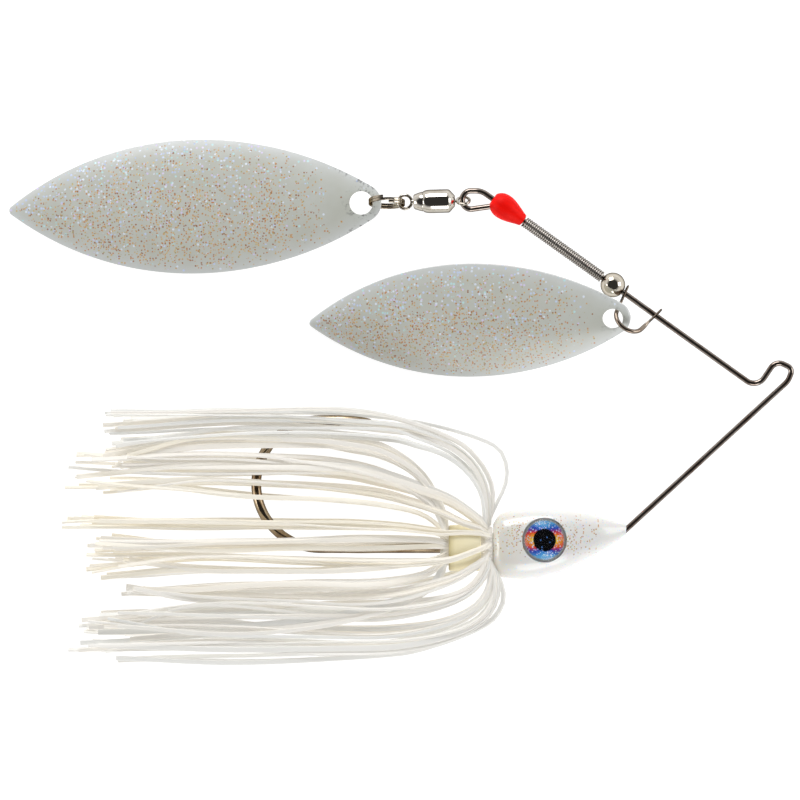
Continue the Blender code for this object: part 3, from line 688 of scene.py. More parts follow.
def foil_paint(name):
    """The printed eye: a black pupil in a holographic iris inside a grey glitter rim."""
    paint = Paint(name, srgb(120, 130, 150), 0.4, Specular_IOR_Level=0.12)
    y, z = paint.axis("Y"), paint.axis("Z")
    out = paint.math("SQRT", paint.math("ADD", paint.times(y, y), paint.times(z, z)))
    reach = paint.over(out, EYE_R * MM)
    wobble = paint.centred(paint.noise(0.5, 2.0), 0.1)
    reach = paint.math("ADD", reach, wobble)
    steep = paint.over(paint.math("ABSOLUTE", y), paint.math("MAXIMUM", out, 0.01 * MM))
    hue = [
        (0.0, srgb(255, 222, 70)),
        (0.2, srgb(252, 150, 40)),
        (0.42, srgb(236, 62, 44)),
        (0.56, srgb(140, 60, 150)),
        (0.7, srgb(50, 76, 200)),
        (0.9, srgb(50, 140, 226)),
        (1.0, srgb(90, 180, 240)),
    ]
    shimmer = paint.centred(paint.noise(0.35, 3.0), 0.3)
    turn_of_hue = paint.times(paint.math("POWER", steep, 1.7), 0.85)
    turn_of_hue = paint.math("ADD", turn_of_hue, paint.times(paint.minus(reach, 0.5), 0.9))
    iris = paint.ramp(paint.math("ADD", turn_of_hue, shimmer, True), hue)
    sparks, spark_hue, _ = paint.flakes(0.36, 0.5, 0.12, 1.3)
    iris = paint.mix(paint.times(sparks, 0.75), iris, paint.ramp(spark_hue, ICE, True))
    flecks, fleck_hue, _ = paint.flakes(0.24, 0.4, 0.07, 9.3)
    iris = paint.mix(paint.times(flecks, 0.6), iris, paint.ramp(fleck_hue, hue[:5], True))
    grey, _, _ = paint.flakes(0.26, 0.5, 0.09, 4.4)
    rim = paint.mix(grey, srgb(164, 168, 166), srgb(232, 238, 232))
    blue_sparks = paint.times(sparks, paint.math("LESS_THAN", spark_hue, 0.2))
    pupil = paint.mix(blue_sparks, srgb(4, 4, 6), srgb(80, 130, 210))
    colour = paint.mix(paint.fade(reach, 0.85, 0.92), iris, rim)
    colour = paint.mix(paint.fade(reach, 0.96, 0.99), colour, srgb(84, 84, 86))
    colour = paint.mix(paint.fade(reach, 0.485, 0.515, 1.0, 0.0), colour, pupil)
    # painted glow: the printed eye gives a little light of its own, which brightens the iris
    paint.glowing(colour, 0.22)
    return paint.mat


def silicone_paint():
    """Milky, slightly clear silicone, from cold white to cream by the tone of each strand."""
    paint = Paint("skirt_silicone", srgb(238, 236, 231), 0.32, IOR=1.42)
    tone = paint.attribute("tone")
    streak = paint.noise(2.5, 3.0, (0.15, 1, 1))
    tones = [(0.0, srgb(232, 232, 229)), (0.5, srgb(237, 233, 226)), (1.0, srgb(241, 235, 220))]
    colour = paint.ramp(tone, tones)
    colour = paint.mix(paint.fade(streak, 0.35, 0.75, 0.0, 0.35), colour, srgb(236, 235, 232))
    # painted glow: the strands give a little light of their own, standing for light shining through the
    # milky silicone
    paint.glowing(colour, 0.15)
    paint.level("Alpha", 0.86)
    paint.level("Normal", paint.bump(paint.noise(0.7, 3.0, (0.1, 1, 1)), 0.02))
    return paint.mat


def collar_paint():
    """Amber rubber, painted darker in a thin band at its rear edge."""
    paint = Paint("collar_rubber", srgb(222, 206, 156), 0.34)
    x = paint.axis("X")
    share = paint.over(paint.minus(x, (COLLAR_FRONT - COLLAR_LENGTH) * MM), COLLAR_LENGTH * MM)
    tones = [
        (0.0, srgb(160, 146, 100)),
        (0.06, srgb(220, 207, 160)),
        (0.2, srgb(243, 232, 193)),
        (1.0, srgb(246, 238, 206)),
    ]
    base = paint.ramp(share, tones)
    mottle = paint.noise(1.1, 4.0, (0.4, 1, 1))
    colour = paint.mix(paint.times(mottle, 0.3), base, srgb(226, 211, 166))
    # painted glow: the band gives a little light of its own, standing for light shining through the rubber
    paint.glowing(colour, 0.06)
    paint.level("Normal", paint.bump(paint.noise(0.5, 3.0), 0.03))
    return paint.mat


def sleeve_paint():
    """Scarlet shrink tube with faint lengthwise streaks."""
    paint = Paint("red_sleeve", srgb(240, 20, 6), 0.5, Specular_IOR_Level=0.12)
    streak = paint.noise(0.9, 3.0, (0.12, 1, 1))
    paint.level("Base Color", paint.mix(paint.fade(streak, 0.4, 0.7), srgb(253, 12, 1), srgb(226, 7, 1)))
    paint.level("Normal", paint.bump(streak, 0.06))
    return paint.mat


def lens_paint():
    """Clear domed resin."""
    paint = Paint("eye_resin", (0.98, 0.99, 0.99, 1), 0.08, IOR=1.34)
    paint.level("Transmission Weight", 1.0)
    paint.level("Roughness", paint.fade(paint.noise(1.5, 2.0), 0.3, 0.7, 0.06, 0.12))
    return paint.mat


# ---------------------------------------------------------------- camera, floor, light


def build_camera():
    camera = bpy.data.cameras.new("camera")
    camera.sensor_width = SENSOR
    camera.lens = SENSOR * (CAMERA_HEIGHT - VIEW_LEVEL) / VIEW_WIDTH
    camera.clip_start = 0.01
    obj = bpy.data.objects.new("camera", camera)
    obj.location = Vector((*VIEW_CENTRE, CAMERA_HEIGHT)) * MM
    bpy.context.scene.collection.objects.link(obj)
    bpy.context.scene.camera = obj
    bpy.context.scene.view_settings.view_transform = "Standard"


def build_floor(height):
    """A pale table top that glows, so that it shows only faint shadows."""
    paint = Paint("floor", (0.4, 0.4, 0.4, 1), 0.9, Specular_IOR_Level=0.1)
    paint.level("Emission Color", (1, 1, 1, 1))
    paint.level("Emission Strength", FLOOR_GLOW)
    corners = [(x * FLOOR_HALF, y * FLOOR_HALF, height) for x, y in ((-1, -1), (1, -1), (1, 1), (-1, 1))]
    make("floor", (corners, [(0, 1, 2, 3)]), paint.mat)


def build_light():
    world = bpy.data.worlds.new("studio")
    bpy.context.scene.world = world
    world.use_nodes = True
    tree = world.node_tree
    coords = tree.nodes.new("ShaderNodeTexCoord")
    split = tree.nodes.new("ShaderNodeSeparateXYZ")
    ramp = tree.nodes.new("ShaderNodeValToRGB")
    tree.links.new(coords.outputs["Generated"], split.inputs[0])
    tree.links.new(split.outputs["Z"], ramp.inputs["Fac"])
    tree.links.new(ramp.outputs["Color"], tree.nodes["Background"].inputs["Color"])
    elements = ramp.color_ramp.elements
    elements.new(SKY[1][0])
    for element, (place, grey) in zip(elements, SKY):
        element.position, element.color = place, (grey, grey, grey, 1)
    tree.nodes["Background"].inputs["Strength"].default_value = SKY_STRENGTH

    centre = Vector((*VIEW_CENTRE, 0)) * MM
    for name, place, size, power in LAMPS:
        lamp = bpy.data.lights.new(name, "AREA")
        lamp.shape, lamp.size, lamp.energy = "SQUARE", size * MM, power
        obj = bpy.data.objects.new(name, lamp)
        obj.location = centre + Vector(place) * MM
        obj.rotation_euler = (centre - obj.location).to_track_quat("-Z", "Y").to_euler()
        bpy.context.scene.collection.objects.link(obj)


# ---------------------------------------------------------------- pieces


ARM_TURN = rotation(ARM_ANGLE, "Z")
HOOK_EYE = Vector((HOOK_EYE_X, SHANK_Y + HOOK_EYE_R, 0.0))
CHAIN_TURN = rotation(CHAIN_YAW, "Z") @ rotation(-CHAIN_DROOP, "Y")


def arm_point(distance):
    """A point on the upper arm's centre line, counted from the valley bend."""
    return VALLEY + ARM_TURN @ Vector((distance, 0, 0))


def on_arm(distance):
    return placed(arm_point(distance), ARM_TURN)


def in_chain(distance, turn=None, z=0.0):
    """A place in the trailing swivel chain, counted back from the end loop."""
    loop = arm_point(ARM_LENGTH)
    start = Vector((loop.x - LOOP_LENGTH, loop.y - LOOP_WIDTH / 2, 0))
    at = start + CHAIN_TURN @ Vector((-distance, 0, z))
    return placed(at, CHAIN_TURN @ (turn or Matrix.Identity(3)))


def wire_path():
    """The whole wire, from the end cast into the head to the tag at the end loop."""
    above_eye = HOOK_EYE + Vector((0, 0, HOOK_R + WIRE_R + 0.15))
    below_eye = HOOK_EYE - Vector((0, 0, HOOK_R + 2 * WIRE_R))
    loop_start = arm_point(ARM_LENGTH)
    loop_left = loop_start.x - LOOP_LENGTH
    tag_start = arm_point(TAG_AT) + ARM_TURN @ Vector((0, TAG_GAP, 0))
    corners = [
        below_eye,
        above_eye,
        above_eye + Vector((4.2, 0.1, 0)),
        Vector((*HEAD_ENTRY, 0)),
        (*LOWER_ARM_TOP, 0),
        (*TIE_FRONT, 0),
        (*TIE_REAR, 0),
        VALLEY,
        loop_start,
        (loop_left, loop_start.y, 0),
        (loop_left, loop_start.y - LOOP_WIDTH, 0),
        tag_start,
        tag_start - ARM_TURN @ Vector((TAG_LENGTH, 0, 0)),
    ]
    return rounded_path(corners, WIRE_BENDS)


def build_wire():
    steel = metal("stainless_wire", srgb(150, 140, 132), 0.14, 0.05, 0.3, tarnish=srgb(118, 102, 92))
    wire = make("wire", tube(wire_path(), WIRE_R), steel)
    piece(outward(wire), "frame", "stainless_wire", "wire_frame")


def bend(centre, radius, start, sweep_angle, steps=40):
    """Points on an arc in the wire's plane, turning clockwise from a starting angle."""
    found = []
    for k in range(steps + 1):
        angle = math.radians(start - sweep_angle * k / steps)
        found.append(centre + radius * Vector((math.cos(angle), math.sin(angle), 0)))
    return found


def hook_path():
    """From the hook's eye, along the shank and round the bend to the point."""
    points = bend(HOOK_EYE, HOOK_EYE_R, HOOK_EYE_TURN - 90, HOOK_EYE_TURN)
    for k in range(12):
        share = (k + 1) / 13
        points.append(Vector((HOOK_EYE_X + (HOOK_BEND_X - HOOK_EYE_X) * share, SHANK_Y, 0)))
    centre = Vector((HOOK_BEND_X, SHANK_Y + HOOK_BEND_R, 0))
    return points + bend(centre, HOOK_BEND_R, 270, 180)


def build_hook():
    nickel = metal("bronze_nickel", srgb(168, 152, 128), 0.18, 0.05, 0.4, tarnish=srgb(120, 98, 74))
    path = hook_path()
    radii = [HOOK_R] * len(path)
    point_y = SHANK_Y + 2 * HOOK_BEND_R
    steps = 14
    for k in range(steps + 1):
        share = k / steps
        radii.append(HOOK_R * (0.08 + 0.92 * math.sqrt(1 - share**1.6)) if share < 1 else HOOK_R * 0.06)
        path.append(Vector((HOOK_POINT_X - HOOK_TAPER * (1 - share), point_y - 0.1 * share, 0)))
    hook = outward(make("hook_wire", tube(path, radii), nickel))
    root = Vector((BARB_ROOT_X, point_y - 0.2, 0))
    tip = Vector((BARB_TIP[0], point_y - BARB_TIP[1], 0))
    shares = [k / 6 for k in range(7)]
    spine = [root.lerp(tip, t) + Vector((0, 0.12 * math.sin(math.pi * t), 0)) for t in shares]
    barb = make("barb", tube(spine, [0.5 - 0.44 * t for t in shares], 12), None)
    finish_mesh(hook, added=[barb])
    piece(hook, "frame", "black_nickel_hook", "hook")


def head_rings(sides, steps):
    """The keeper barrel, then the head's sections from its rear face to its nose."""
    rings = []
    for x, r in (
        (HEAD_REAR - KEEPER_LENGTH, KEEPER_R - 0.25),
        (HEAD_REAR - KEEPER_LENGTH + 0.1, KEEPER_R - 0.07),
        (HEAD_REAR - KEEPER_LENGTH + 0.25, KEEPER_R),
        (HEAD_REAR - 0.25, KEEPER_R),
        (HEAD_REAR, KEEPER_R + 0.25),
    ):
        rings.append([Vector((x, SHANK_Y + y, z)) for y, z in polygon(sides, r, r)])
    length = HEAD_STATIONS[-1][0]
    for k in range(steps + 1):
        at = length * (1 - math.cos(math.pi * k / steps)) / 2
        top, bottom, half_width = interpolate(HEAD_STATIONS, at)
        middle = SHANK_Y + (top + bottom) / 2
        outline = polygon(sides, (top - bottom) / 2, half_width, HEAD_SQUARENESS)
        rings.append([Vector((HEAD_REAR + at, middle + y, z)) for y, z in outline])
    return rings


def eye_centre(z):
    return Vector((HEAD_REAR + EYE_FROM_REAR, SHANK_Y + EYE_ABOVE_SHANK, z))


def build_head():
    head = outward(make("painted_head", skin(head_rings(72, 60)), head_paint()))
    tools = []
    for side in (1, -1):
        seat = eye_centre(side * EYE_SEAT_Z)
        path = [seat, seat + Vector((0, 0, 3 * side))]
        tools.append(make(f"seat_{side}", tube(path, EYE_SEAT_R, 64), None))
    wire = [p for p in wire_path() if p.x < -20 and p.y < 0]
    wire[0] = wire[0] - Vector((0, 0, 0.1))
    toward_tie = Vector((*LOWER_ARM_TOP, 0)) - wire[-1]
    wire.append(wire[-1] + toward_tie.normalized() * 4)
    tools.append(make("wire_room", tube(wire, WIRE_R + RUNNING_GAP), None))
    hook = [p for p in hook_path() if p.x > HOOK_BEND_X + 1 and p.y < -20]
    hook[0] = hook[0] - (hook[1] - hook[0]).normalized() * 0.1
    hook = [p for p in hook if p.x > HEAD_REAR - KEEPER_LENGTH - 3 or p.y > SHANK_Y + 0.1]
    tools.append(make("hook_room", tube(hook, HOOK_R + RUNNING_GAP + 0.02), None))
    finish_mesh(head, tools, bevel=0.1)
    piece(head, "frame", "pearl_white_head", "head")


def build_eyes():
    """On each side a printed foil disc under a clear domed cap."""
    dome_r = (EYE_R**2 + EYE_DOME**2) / (2 * EYE_DOME)
    edge = math.degrees(math.asin(EYE_R / dome_r))
    dome = [(x - dome_r + EYE_RIM + EYE_DOME, r) for x, r in arc_profile(dome_r, edge, 0, 16)]
    rim = [(0, EYE_R - 0.06), (0.06, EYE_R), (EYE_RIM - 0.08, EYE_R), (EYE_RIM, EYE_R - 0.03)]
    lens_profile = [(0, 0), *rim, *dome[1:-1], (EYE_RIM + EYE_DOME, 0)]
    rings = [(EYE_FOIL, EYE_R * k / 10) for k in range(9, 0, -1)]
    foil_profile = [(0, 0), (0, EYE_R), (EYE_FOIL, EYE_R), *rings, (EYE_FOIL, 0)]
    clear = lens_paint()
    for side, word in ((1, "left"), (-1, "right")):
        turn = rotation(-90 * side, "Y")
        foil_at = placed(eye_centre(side * (EYE_SEAT_Z + EYE_GAP)), turn)
        lens_at = placed(eye_centre(side * (EYE_SEAT_Z + EYE_FOIL + 2 * EYE_GAP)), turn)
        printed = foil_paint(f"eye_print_{word}")
        foil = make(f"eye_print_{word}", turned(foil_profile, 64, False), printed, foil_at)
        lens = make(f"eye_dome_{word}", turned(lens_profile, 64, False), clear, lens_at, 60)
        piece(outward(foil), "frame", "eye_foil", f"eye_foil_{word}")
        piece(outward(lens), "frame", "eye_lens", f"eye_lens_{word}")


# ---------------------------------------------------------------- skirt

# Each guide is a curve for a loose bundle of strands, in the plane of the lure: places are (along, up), with
# up counted from the hook's shank. The first number is how many strands, the second how far they spread from
# the guide, then the range of their tips' places along and up, and how warm their white is.
FRONT_GUIDES = (
    (1, 0.1, (-110, -109), (21.6, 22.0), 0.1,
     ((-46.7, 6.2), (-44.6, 11.0), (-45.2, 15.1), (-48.0, 17.3), (-55.4, 19.6), (-63.5, 21.0), (-78, 22.0))),
    (2, 0.3, (-110, -107), (21.4, 22.2), 0.1,
     ((-47.0, 6.2), (-47.0, 10.2), (-49.2, 14.3), (-53.0, 17.5), (-61.9, 20.9), (-71.6, 22.5), (-86, 22.4))),
    (8, 0.95, (-110, -105), (18.8, 21.9), 0.2,
     ((-47.6, 4.5), (-48.0, 9.4), (-49.9, 13.4), (-53.5, 16.5), (-59.0, 18.8), (-65.4, 19.9), (-86, 21.1))),
    (4, 0.7, (-109, -105), (16.5, 18.5), 0.15,
     ((-48.0, 4.2), (-48.6, 8.6), (-50.9, 12.3), (-54.6, 15.1), (-59.5, 16.8), (-65.1, 18.0), (-86, 18.8))),
    (6, 0.95, (-117, -105), (11.0, 15.5), 0.65,
     ((-48.3, 3.6), (-50.9, 5.8), (-54.1, 7.8), (-58.6, 9.4), (-65.1, 11.3), (-73.2, 12.6), (-94, 13.0))),
    (4, 0.6, (-116, -107), (9.1, 11.3), 0.75,
     ((-48.3, 2.9), (-51.8, 4.05), (-55.4, 5.7), (-60.3, 7.3), (-66.7, 8.75), (-78.1, 9.9), (-94, 10.5))),
    (5, 0.5, (-117, -110), (3.6, 5.0), 0.95,
     ((-47.8, 2.3), (-51.4, 2.6), (-55.4, 2.6), (-61.9, 3.4), (-70.0, 3.9), (-78.1, 4.05), (-94, 4.4))),
    (4, 0.6, (-113, -106), (-3.9, -0.6), 0.75,
     ((-47.6, 0.5), (-50.5, -0.65), (-54.6, -1.95), (-61.9, -2.4), (-70.0, -2.3),
      (-78.1, -1.95), (-94, -1.3))),
    (6, 1.4, (-108, -103), (-7.6, -5.8), 0.45,
     ((-47.6, -1.1), (-50.5, -3.1), (-54.1, -4.9), (-61.9, -6.8), (-70.0, -7.3),
      (-78.1, -7.1), (-94, -6.5))),
    (8, 1.5, (-114, -103), (-12.5, -10.0), 0.4,
     ((-47.3, -2.3), (-48.9, -5.5), (-51.8, -7.9), (-57.0, -9.7), (-65.1, -10.9),
      (-74.8, -10.7), (-94, -10.4))),
    (6, 1.3, (-114, -102), (-13.6, -11.0), 0.35,
     ((-47.0, -2.75), (-47.6, -6.8), (-50.2, -10.0), (-55.4, -12.3), (-63.5, -13.6),
      (-73.2, -13.6), (-94, -12.6))),
    (5, 1.0, (-116, -102), (-17.3, -15.0), 0.15,
     ((-46.9, -3.1), (-46.5, -7.1), (-48.3, -10.9), (-53.0, -13.6), (-61.9, -15.4),
      (-73.2, -15.7), (-92, -15.7))),
    (2, 0.35, (-109, -107), (-18.4, -17.8), 0.1,
     ((-46.4, -3.8), (-45.1, -7.6), (-46.2, -10.7), (-49.2, -13.0), (-57.0, -15.9),
      (-65.1, -17.3), (-90, -18.0))),
)
REAR_GUIDES = (
    (8, 0.9, (-110, -105), (14.0, 17.0), 0.45,
     ((-54.8, 3.6), (-55.7, 7.0), (-59.0, 12.0), (-64.3, 15.3), (-70.0, 16.6), (-78.1, 17.5), (-94, 17.9))),
    (5, 0.9, (-115, -105), (12.6, 15.8), 0.5,
     ((-54.6, 3.3), (-56.2, 6.6), (-60.3, 10.0), (-66.7, 12.5), (-74.8, 13.9), (-86.2, 14.5), (-97, 14.6))),
    (2, 0.3, (-117, -110), (9.4, 11.3), 0.9,
     ((-55.0, 3.0), (-58.6, 5.6), (-65.1, 7.1), (-73.2, 7.9), (-86.2, 8.7), (-99.1, 10.0))),
    (5, 0.5, (-117, -109), (3.2, 4.9), 1.0,
     ((-55.0, 2.2), (-58.6, 2.9), (-65.1, 3.4), (-78.1, 3.6), (-94.3, 3.9))),
    (6, 0.6, (-113, -107), (0.0, 1.8), 0.8,
     ((-55.0, 1.1), (-58.6, 1.5), (-68.4, 1.5), (-78.1, 1.2), (-94.3, 0.9))),
    (4, 0.45, (-112, -106), (-0.8, 0.8), 0.85,
     ((-55.0, 0.3), (-58.6, 0.3), (-68.4, 0.1), (-78.1, 0.2), (-94.3, 0.1))),
    (4, 0.6, (-112, -105), (-4.5, -1.3), 0.7,
     ((-55.0, -1.3), (-58.6, -2.3), (-68.4, -3.2), (-78.1, -3.6), (-94.3, -3.2))),
    (4, 0.7, (-108, -103), (-7.6, -6.4), 0.5,
     ((-55.0, -2.3), (-58.6, -4.4), (-66.7, -5.7), (-78.1, -5.8), (-94.3, -6.6))),
    (4, 0.9, (-114, -104), (-16.5, -12.5), 0.4,
     ((-54.8, -3.0), (-57.0, -6.4), (-63.5, -9.2), (-74.8, -12.0), (-91.0, -13.6))),
)
HOOK_CLEARANCE = 1.05
MID_STATION = -68.0
CEILING = 5.6
FLOOR_CLEAR = 4.9


def strand_sections(points, half_width, half_depth, twist):
    """Flat rounded sections that turn slowly along a strand."""
    count = len(points)
    outline = polygon(8, half_width, half_depth, 3.0)
    sections = []
    for k in range(count):
        angle = twist[0] + twist[1] * k / (count - 1)
        c, s = math.cos(angle), math.sin(angle)
        sections.append([(a * c - b * s, a * s + b * c) for a, b in outline])
    return sections


def clear_collar(point):
    """Keeps a point of a folded strand outside the collar."""
    if not COLLAR_FRONT - COLLAR_LENGTH - 1.2 < point.x < COLLAR_FRONT + 0.4:
        return point
    out = Vector((0, point.y - SHANK_Y, point.z))
    least = COLLAR_R + 0.4
    if out.length >= least or out.length == 0:
        return point
    out = out.normalized() * least
    return Vector((point.x, SHANK_Y + out.y, out.z))


def smooth(share):
    share = min(max(share, 0.0), 1.0)
    return share * share * (3 - 2 * share)


def strand_path(rng, guide, layer, front):
    """A strand's centre line, from under the collar along its guide to its own tip."""
    _, spread, tip_along, tip_up, _, places = guide
    tip = (rng.uniform(*tip_along), rng.uniform(*tip_up))
    places = [place for place in places if place[0] > tip[0] + 6]
    stray = rng.gauss(0, 0.55) * spread
    stray_back = stray * 0.5 + rng.gauss(0, 0.5) * spread
    mid_z = layer * rng.uniform(1.5, CEILING - 1.2 if layer > 0 else FLOOR_CLEAR - 0.4)
    tip_z = layer * rng.uniform(1.2, 4.2)
    first_up = places[0][1] + stray * 0.5
    edge, reach = (COLLAR_FRONT, 1) if front else (COLLAR_FRONT - COLLAR_LENGTH, -1)
    lean = max(-0.97, min(0.97, first_up / 4.6))
    turn = math.acos(lean)
    out = Vector((0, math.cos(turn), math.sin(turn) * layer))
    points = [
        Vector((edge - 1.2 * reach, SHANK_Y, 0)) + out * 2.55,
        Vector((edge + 0.1 * reach, SHANK_Y, 0)) + out * 2.65,
        Vector((edge + 0.75 * reach, SHANK_Y, 0)) + out * (3.3 if front else 2.9),
    ]
    start_z = out.z * (3.9 if front else 3.0)
    for k, (along, up) in enumerate(places):
        share = smooth((places[0][0] - along) / (places[0][0] - MID_STATION))
        back = smooth((MID_STATION - along) / 20)
        before = places[max(k - 1, 0)]
        after = places[min(k + 1, len(places) - 1)]
        run = Vector((after[0] - before[0], after[1] - before[1])).normalized()
        off = (stray * (1 - back) + stray_back * back) * (0.35 + 0.65 * share)
        arch = math.sin(math.pi * min(1.0, 1.6 * (1 - share))) * 0.5 * abs(out.z)
        z = start_z + (mid_z - start_z) * share + layer * arch
        z += (tip_z - mid_z) * back * 0.6
        point = Vector((along + run.y * off, SHANK_Y + up - run.x * off, z))
        points.append(clear_collar(point) if front else point)
    points.append(Vector((tip[0], SHANK_Y + tip[1], tip_z)))
    return points


def waved(rng, points):
    """Adds slow random waves that grow towards the tip, and keeps clear of the hook and the table."""
    phases = [rng.uniform(0, 2 * math.pi) for _ in range(4)]
    size = rng.uniform(0.1, 0.45)
    found = []
    for k, point in enumerate(points):
        share = k / (len(points) - 1)
        grow = max(0.0, share - 0.3) * size
        y = math.sin(7 * share + phases[0]) + 0.5 * math.sin(15 * share + phases[1])
        z = math.sin(6 * share + phases[2]) + 0.5 * math.sin(13 * share + phases[3])
        moved = point + Vector((0, y * grow, z * grow * 0.6))
        moved.z = min(max(moved.z, -FLOOR_CLEAR), CEILING)
        behind = moved.x < COLLAR_FRONT - COLLAR_LENGTH - 3
        if behind and abs(moved.z) < HOOK_CLEARANCE:
            moved.z = math.copysign(HOOK_CLEARANCE, point.z)
        found.append(moved)
    return found


def volume(verts, faces):
    """The signed volume inside a closed skin: negative when its faces look inward."""
    total = 0.0
    for face in faces:
        first = verts[face[0]]
        for second, third in zip(face[1:], face[2:]):
            total += first.dot(verts[second].cross(verts[third])) / 6
    return total


def strand_mesh(strands):
    """One mesh of many strands, with each strand's tone on its points."""
    verts, faces, tones = [], [], []
    for points, half_width, half_depth, twist, tone in strands:
        sections = strand_sections(points, half_width, half_depth, twist)
        part_verts, part_faces = sweep(points, sections, Vector((0, 0.2, 1)))
        if volume(part_verts, part_faces) < 0:
            part_faces = [tuple(reversed(face)) for face in part_faces]
        start = len(verts)
        verts += part_verts
        faces += [tuple(start + index for index in face) for face in part_faces]
        tones += [tone] * len(part_verts)
    return verts, faces, tones


def build_strands(silicone):
    rng = random.Random(STRAND_SEED)
    for layer, word in ((1, "upper"), (-1, "lower")):
        for guides, front in ((FRONT_GUIDES, True), (REAR_GUIDES, False)):
            strands = []
            for guide in guides:
                extra = 1 if layer > 0 else 0
                for _ in range((round(guide[0] * STRAND_DENSITY) + extra) // 2):
                    points = waved(rng, spline(strand_path(rng, guide, layer, front), 48))
                    tone = min(1.0, max(0.0, rng.gauss(guide[4], 0.22)))
                    width = rng.choice(STRAND_HALF_WIDTHS)
                    twist = (rng.uniform(-0.8, 0.8), rng.uniform(-1.0, 1.0))
                    strands.append((points, width, STRAND_THICKNESS / 2, twist, tone))
            verts, faces, tones = strand_mesh(strands)
            kind = "folded" if front else "straight"
            obj = make(f"skirt_{kind}_{word}", (verts, faces), silicone, attributes={"tone": tones})
            nodes = [f"skirt_rear_{word}"]
            if front:
                nodes = [f"skirt_front_{word}_{number}" for number in range(1, 6)]
            piece(obj, "frame", "skirt_silicone", *nodes)


def build_collar(silicone):
    rear = COLLAR_FRONT - COLLAR_LENGTH
    inner = COLLAR_R - COLLAR_WALL
    outer = []
    for k in range(13):
        share = k / 12
        swell = 0.12 * math.sin(math.pi * share) - 0.12
        outer.append((COLLAR_FRONT - 0.15 - (COLLAR_LENGTH - 0.3) * share, COLLAR_R + swell))
    profile = [
        (COLLAR_FRONT - 0.05, inner),
        (COLLAR_FRONT, inner + 0.1),
        (COLLAR_FRONT, COLLAR_R - 0.32),
        *outer,
        (rear, COLLAR_R - 0.32),
        (rear, inner + 0.1),
        (rear + 0.05, inner),
    ]
    collar = make("collar_band", turned(profile, 72), collar_paint(), placed((0, SHANK_Y, 0)))
    piece(outward(collar), "frame", "skirt_collar", "skirt_collar")

    count, sides = 34, 272
    bore = KEEPER_R + 0.06
    outer_r = inner - 0.06
    rings = []
    crown = HEAD_REAR - 0.12
    for x, swell in (
        (crown, None),
        (crown, 0.5),
        (crown - 0.35, 0.62),
        (crown - 0.9, 0.6),
        (COLLAR_FRONT + 0.3, 0.3),
        (COLLAR_FRONT, 0.0),
        (rear, 0.0),
        (rear - 0.5, -0.02),
        (rear - 0.9, -0.12),
        (rear - 0.9, None),
    ):
        ring = []
        for k in range(sides):
            angle = 2 * math.pi * k / sides
            ridge = 0.11 * (abs(math.sin(count * angle / 2)) - 1)
            r = bore if swell is None else outer_r + swell + ridge
            ring.append(Vector((x, SHANK_Y + r * math.cos(angle), r * math.sin(angle))))
        rings.append(ring)
    shape = skin(rings, closed=True)
    band = make("skirt_packed_roots", shape, silicone, attributes={"tone": [0.5] * len(shape[0])})
    piece(outward(band), "frame", "skirt_silicone", "skirt_roots")


# ---------------------------------------------------------------- upper arm


def build_arm_pieces():
    rise = ((0.05, 0.75), (0.14, 0.98), (0.7, 1.15), (1.3, 1.38), (1.9, 1.6), (2.5, 1.8), (3.1, 1.96))
    crest = ((3.7, 2.04), (4.1, SLEEVE_R), (4.6, 2.0))
    fall = ((5.0, 1.9), (5.4, 1.7), (5.7, 1.48), (5.95, 1.2), (SLEEVE_LENGTH, 0.95))
    bore = WIRE_R + RUNNING_GAP
    profile = [(0.0, bore), *rise, *crest, *fall, (SLEEVE_LENGTH, bore)]
    sleeve = outward(make("red_tag_sleeve", turned(profile, 64), sleeve_paint(), on_arm(SLEEVE_FROM)))
    tag = wire_path()[-24:]
    tag[-1] = tag[-1] + (tag[-1] - tag[-2]).normalized() * 0.2
    finish_mesh(sleeve, [make("tag_room", tube(tag, bore), None)], bevel=0.06)
    piece(sleeve, "frame", "red_sleeve", "tag_sleeve")

    nickel = metal("spring_nickel", srgb(172, 166, 160), 0.2, 0.02, 0.2)
    section = polygon(8, SPRING_WIRE_R, SPRING_WIRE_R)
    pitch = (SPRING_LENGTH - 2 * SPRING_WIRE_R) / SPRING_TURNS
    shape = coil(SPRING_R, pitch, SPRING_TURNS, section, 24)
    spring = make("spring_coil", shape, nickel, on_arm(SPRING_FROM + SPRING_WIRE_R), 60)
    piece(outward(spring), "spring", "spring_sleeve", "spring_sleeve")

    bore = WIRE_R + RUNNING_GAP + 0.02
    edge = math.degrees(math.asin(bore / BEAD_R))
    plated = metal("bead_nickel", srgb(206, 198, 184), 0.07, 0.01, 0.8)
    ball = arc_profile(BEAD_R, edge + 2, 178 - edge, 40)
    lip = (BEAD_R * math.cos(math.radians(edge)) - 0.1, bore)
    profile = [lip, *ball, (-lip[0], bore)]
    bead = make("plated_bead", turned(profile, 64), plated, on_arm(BEAD_AT), 50)
    piece(outward(bead), "bead", "bead", "bead")


def clevis_path(step):
    """From one of the clevis's ends to the other, with its bends in steps of some degrees."""
    corners = [
        (-CLEVIS_TOP, -CLEVIS_EAR, 0),
        (-CLEVIS_BOTTOM, CLEVIS_DEPTH, 0),
        (CLEVIS_BOTTOM, CLEVIS_DEPTH, 0),
        (CLEVIS_TOP, -CLEVIS_EAR, 0),
    ]
    return rounded_path(corners, (CLEVIS_BEND_R, CLEVIS_BEND_R), step)


def clevis_turn():
    return ARM_TURN @ rotation(180, "Z") @ rotation(180, "X") @ rotation(-CLEVIS_LIFT, "X")


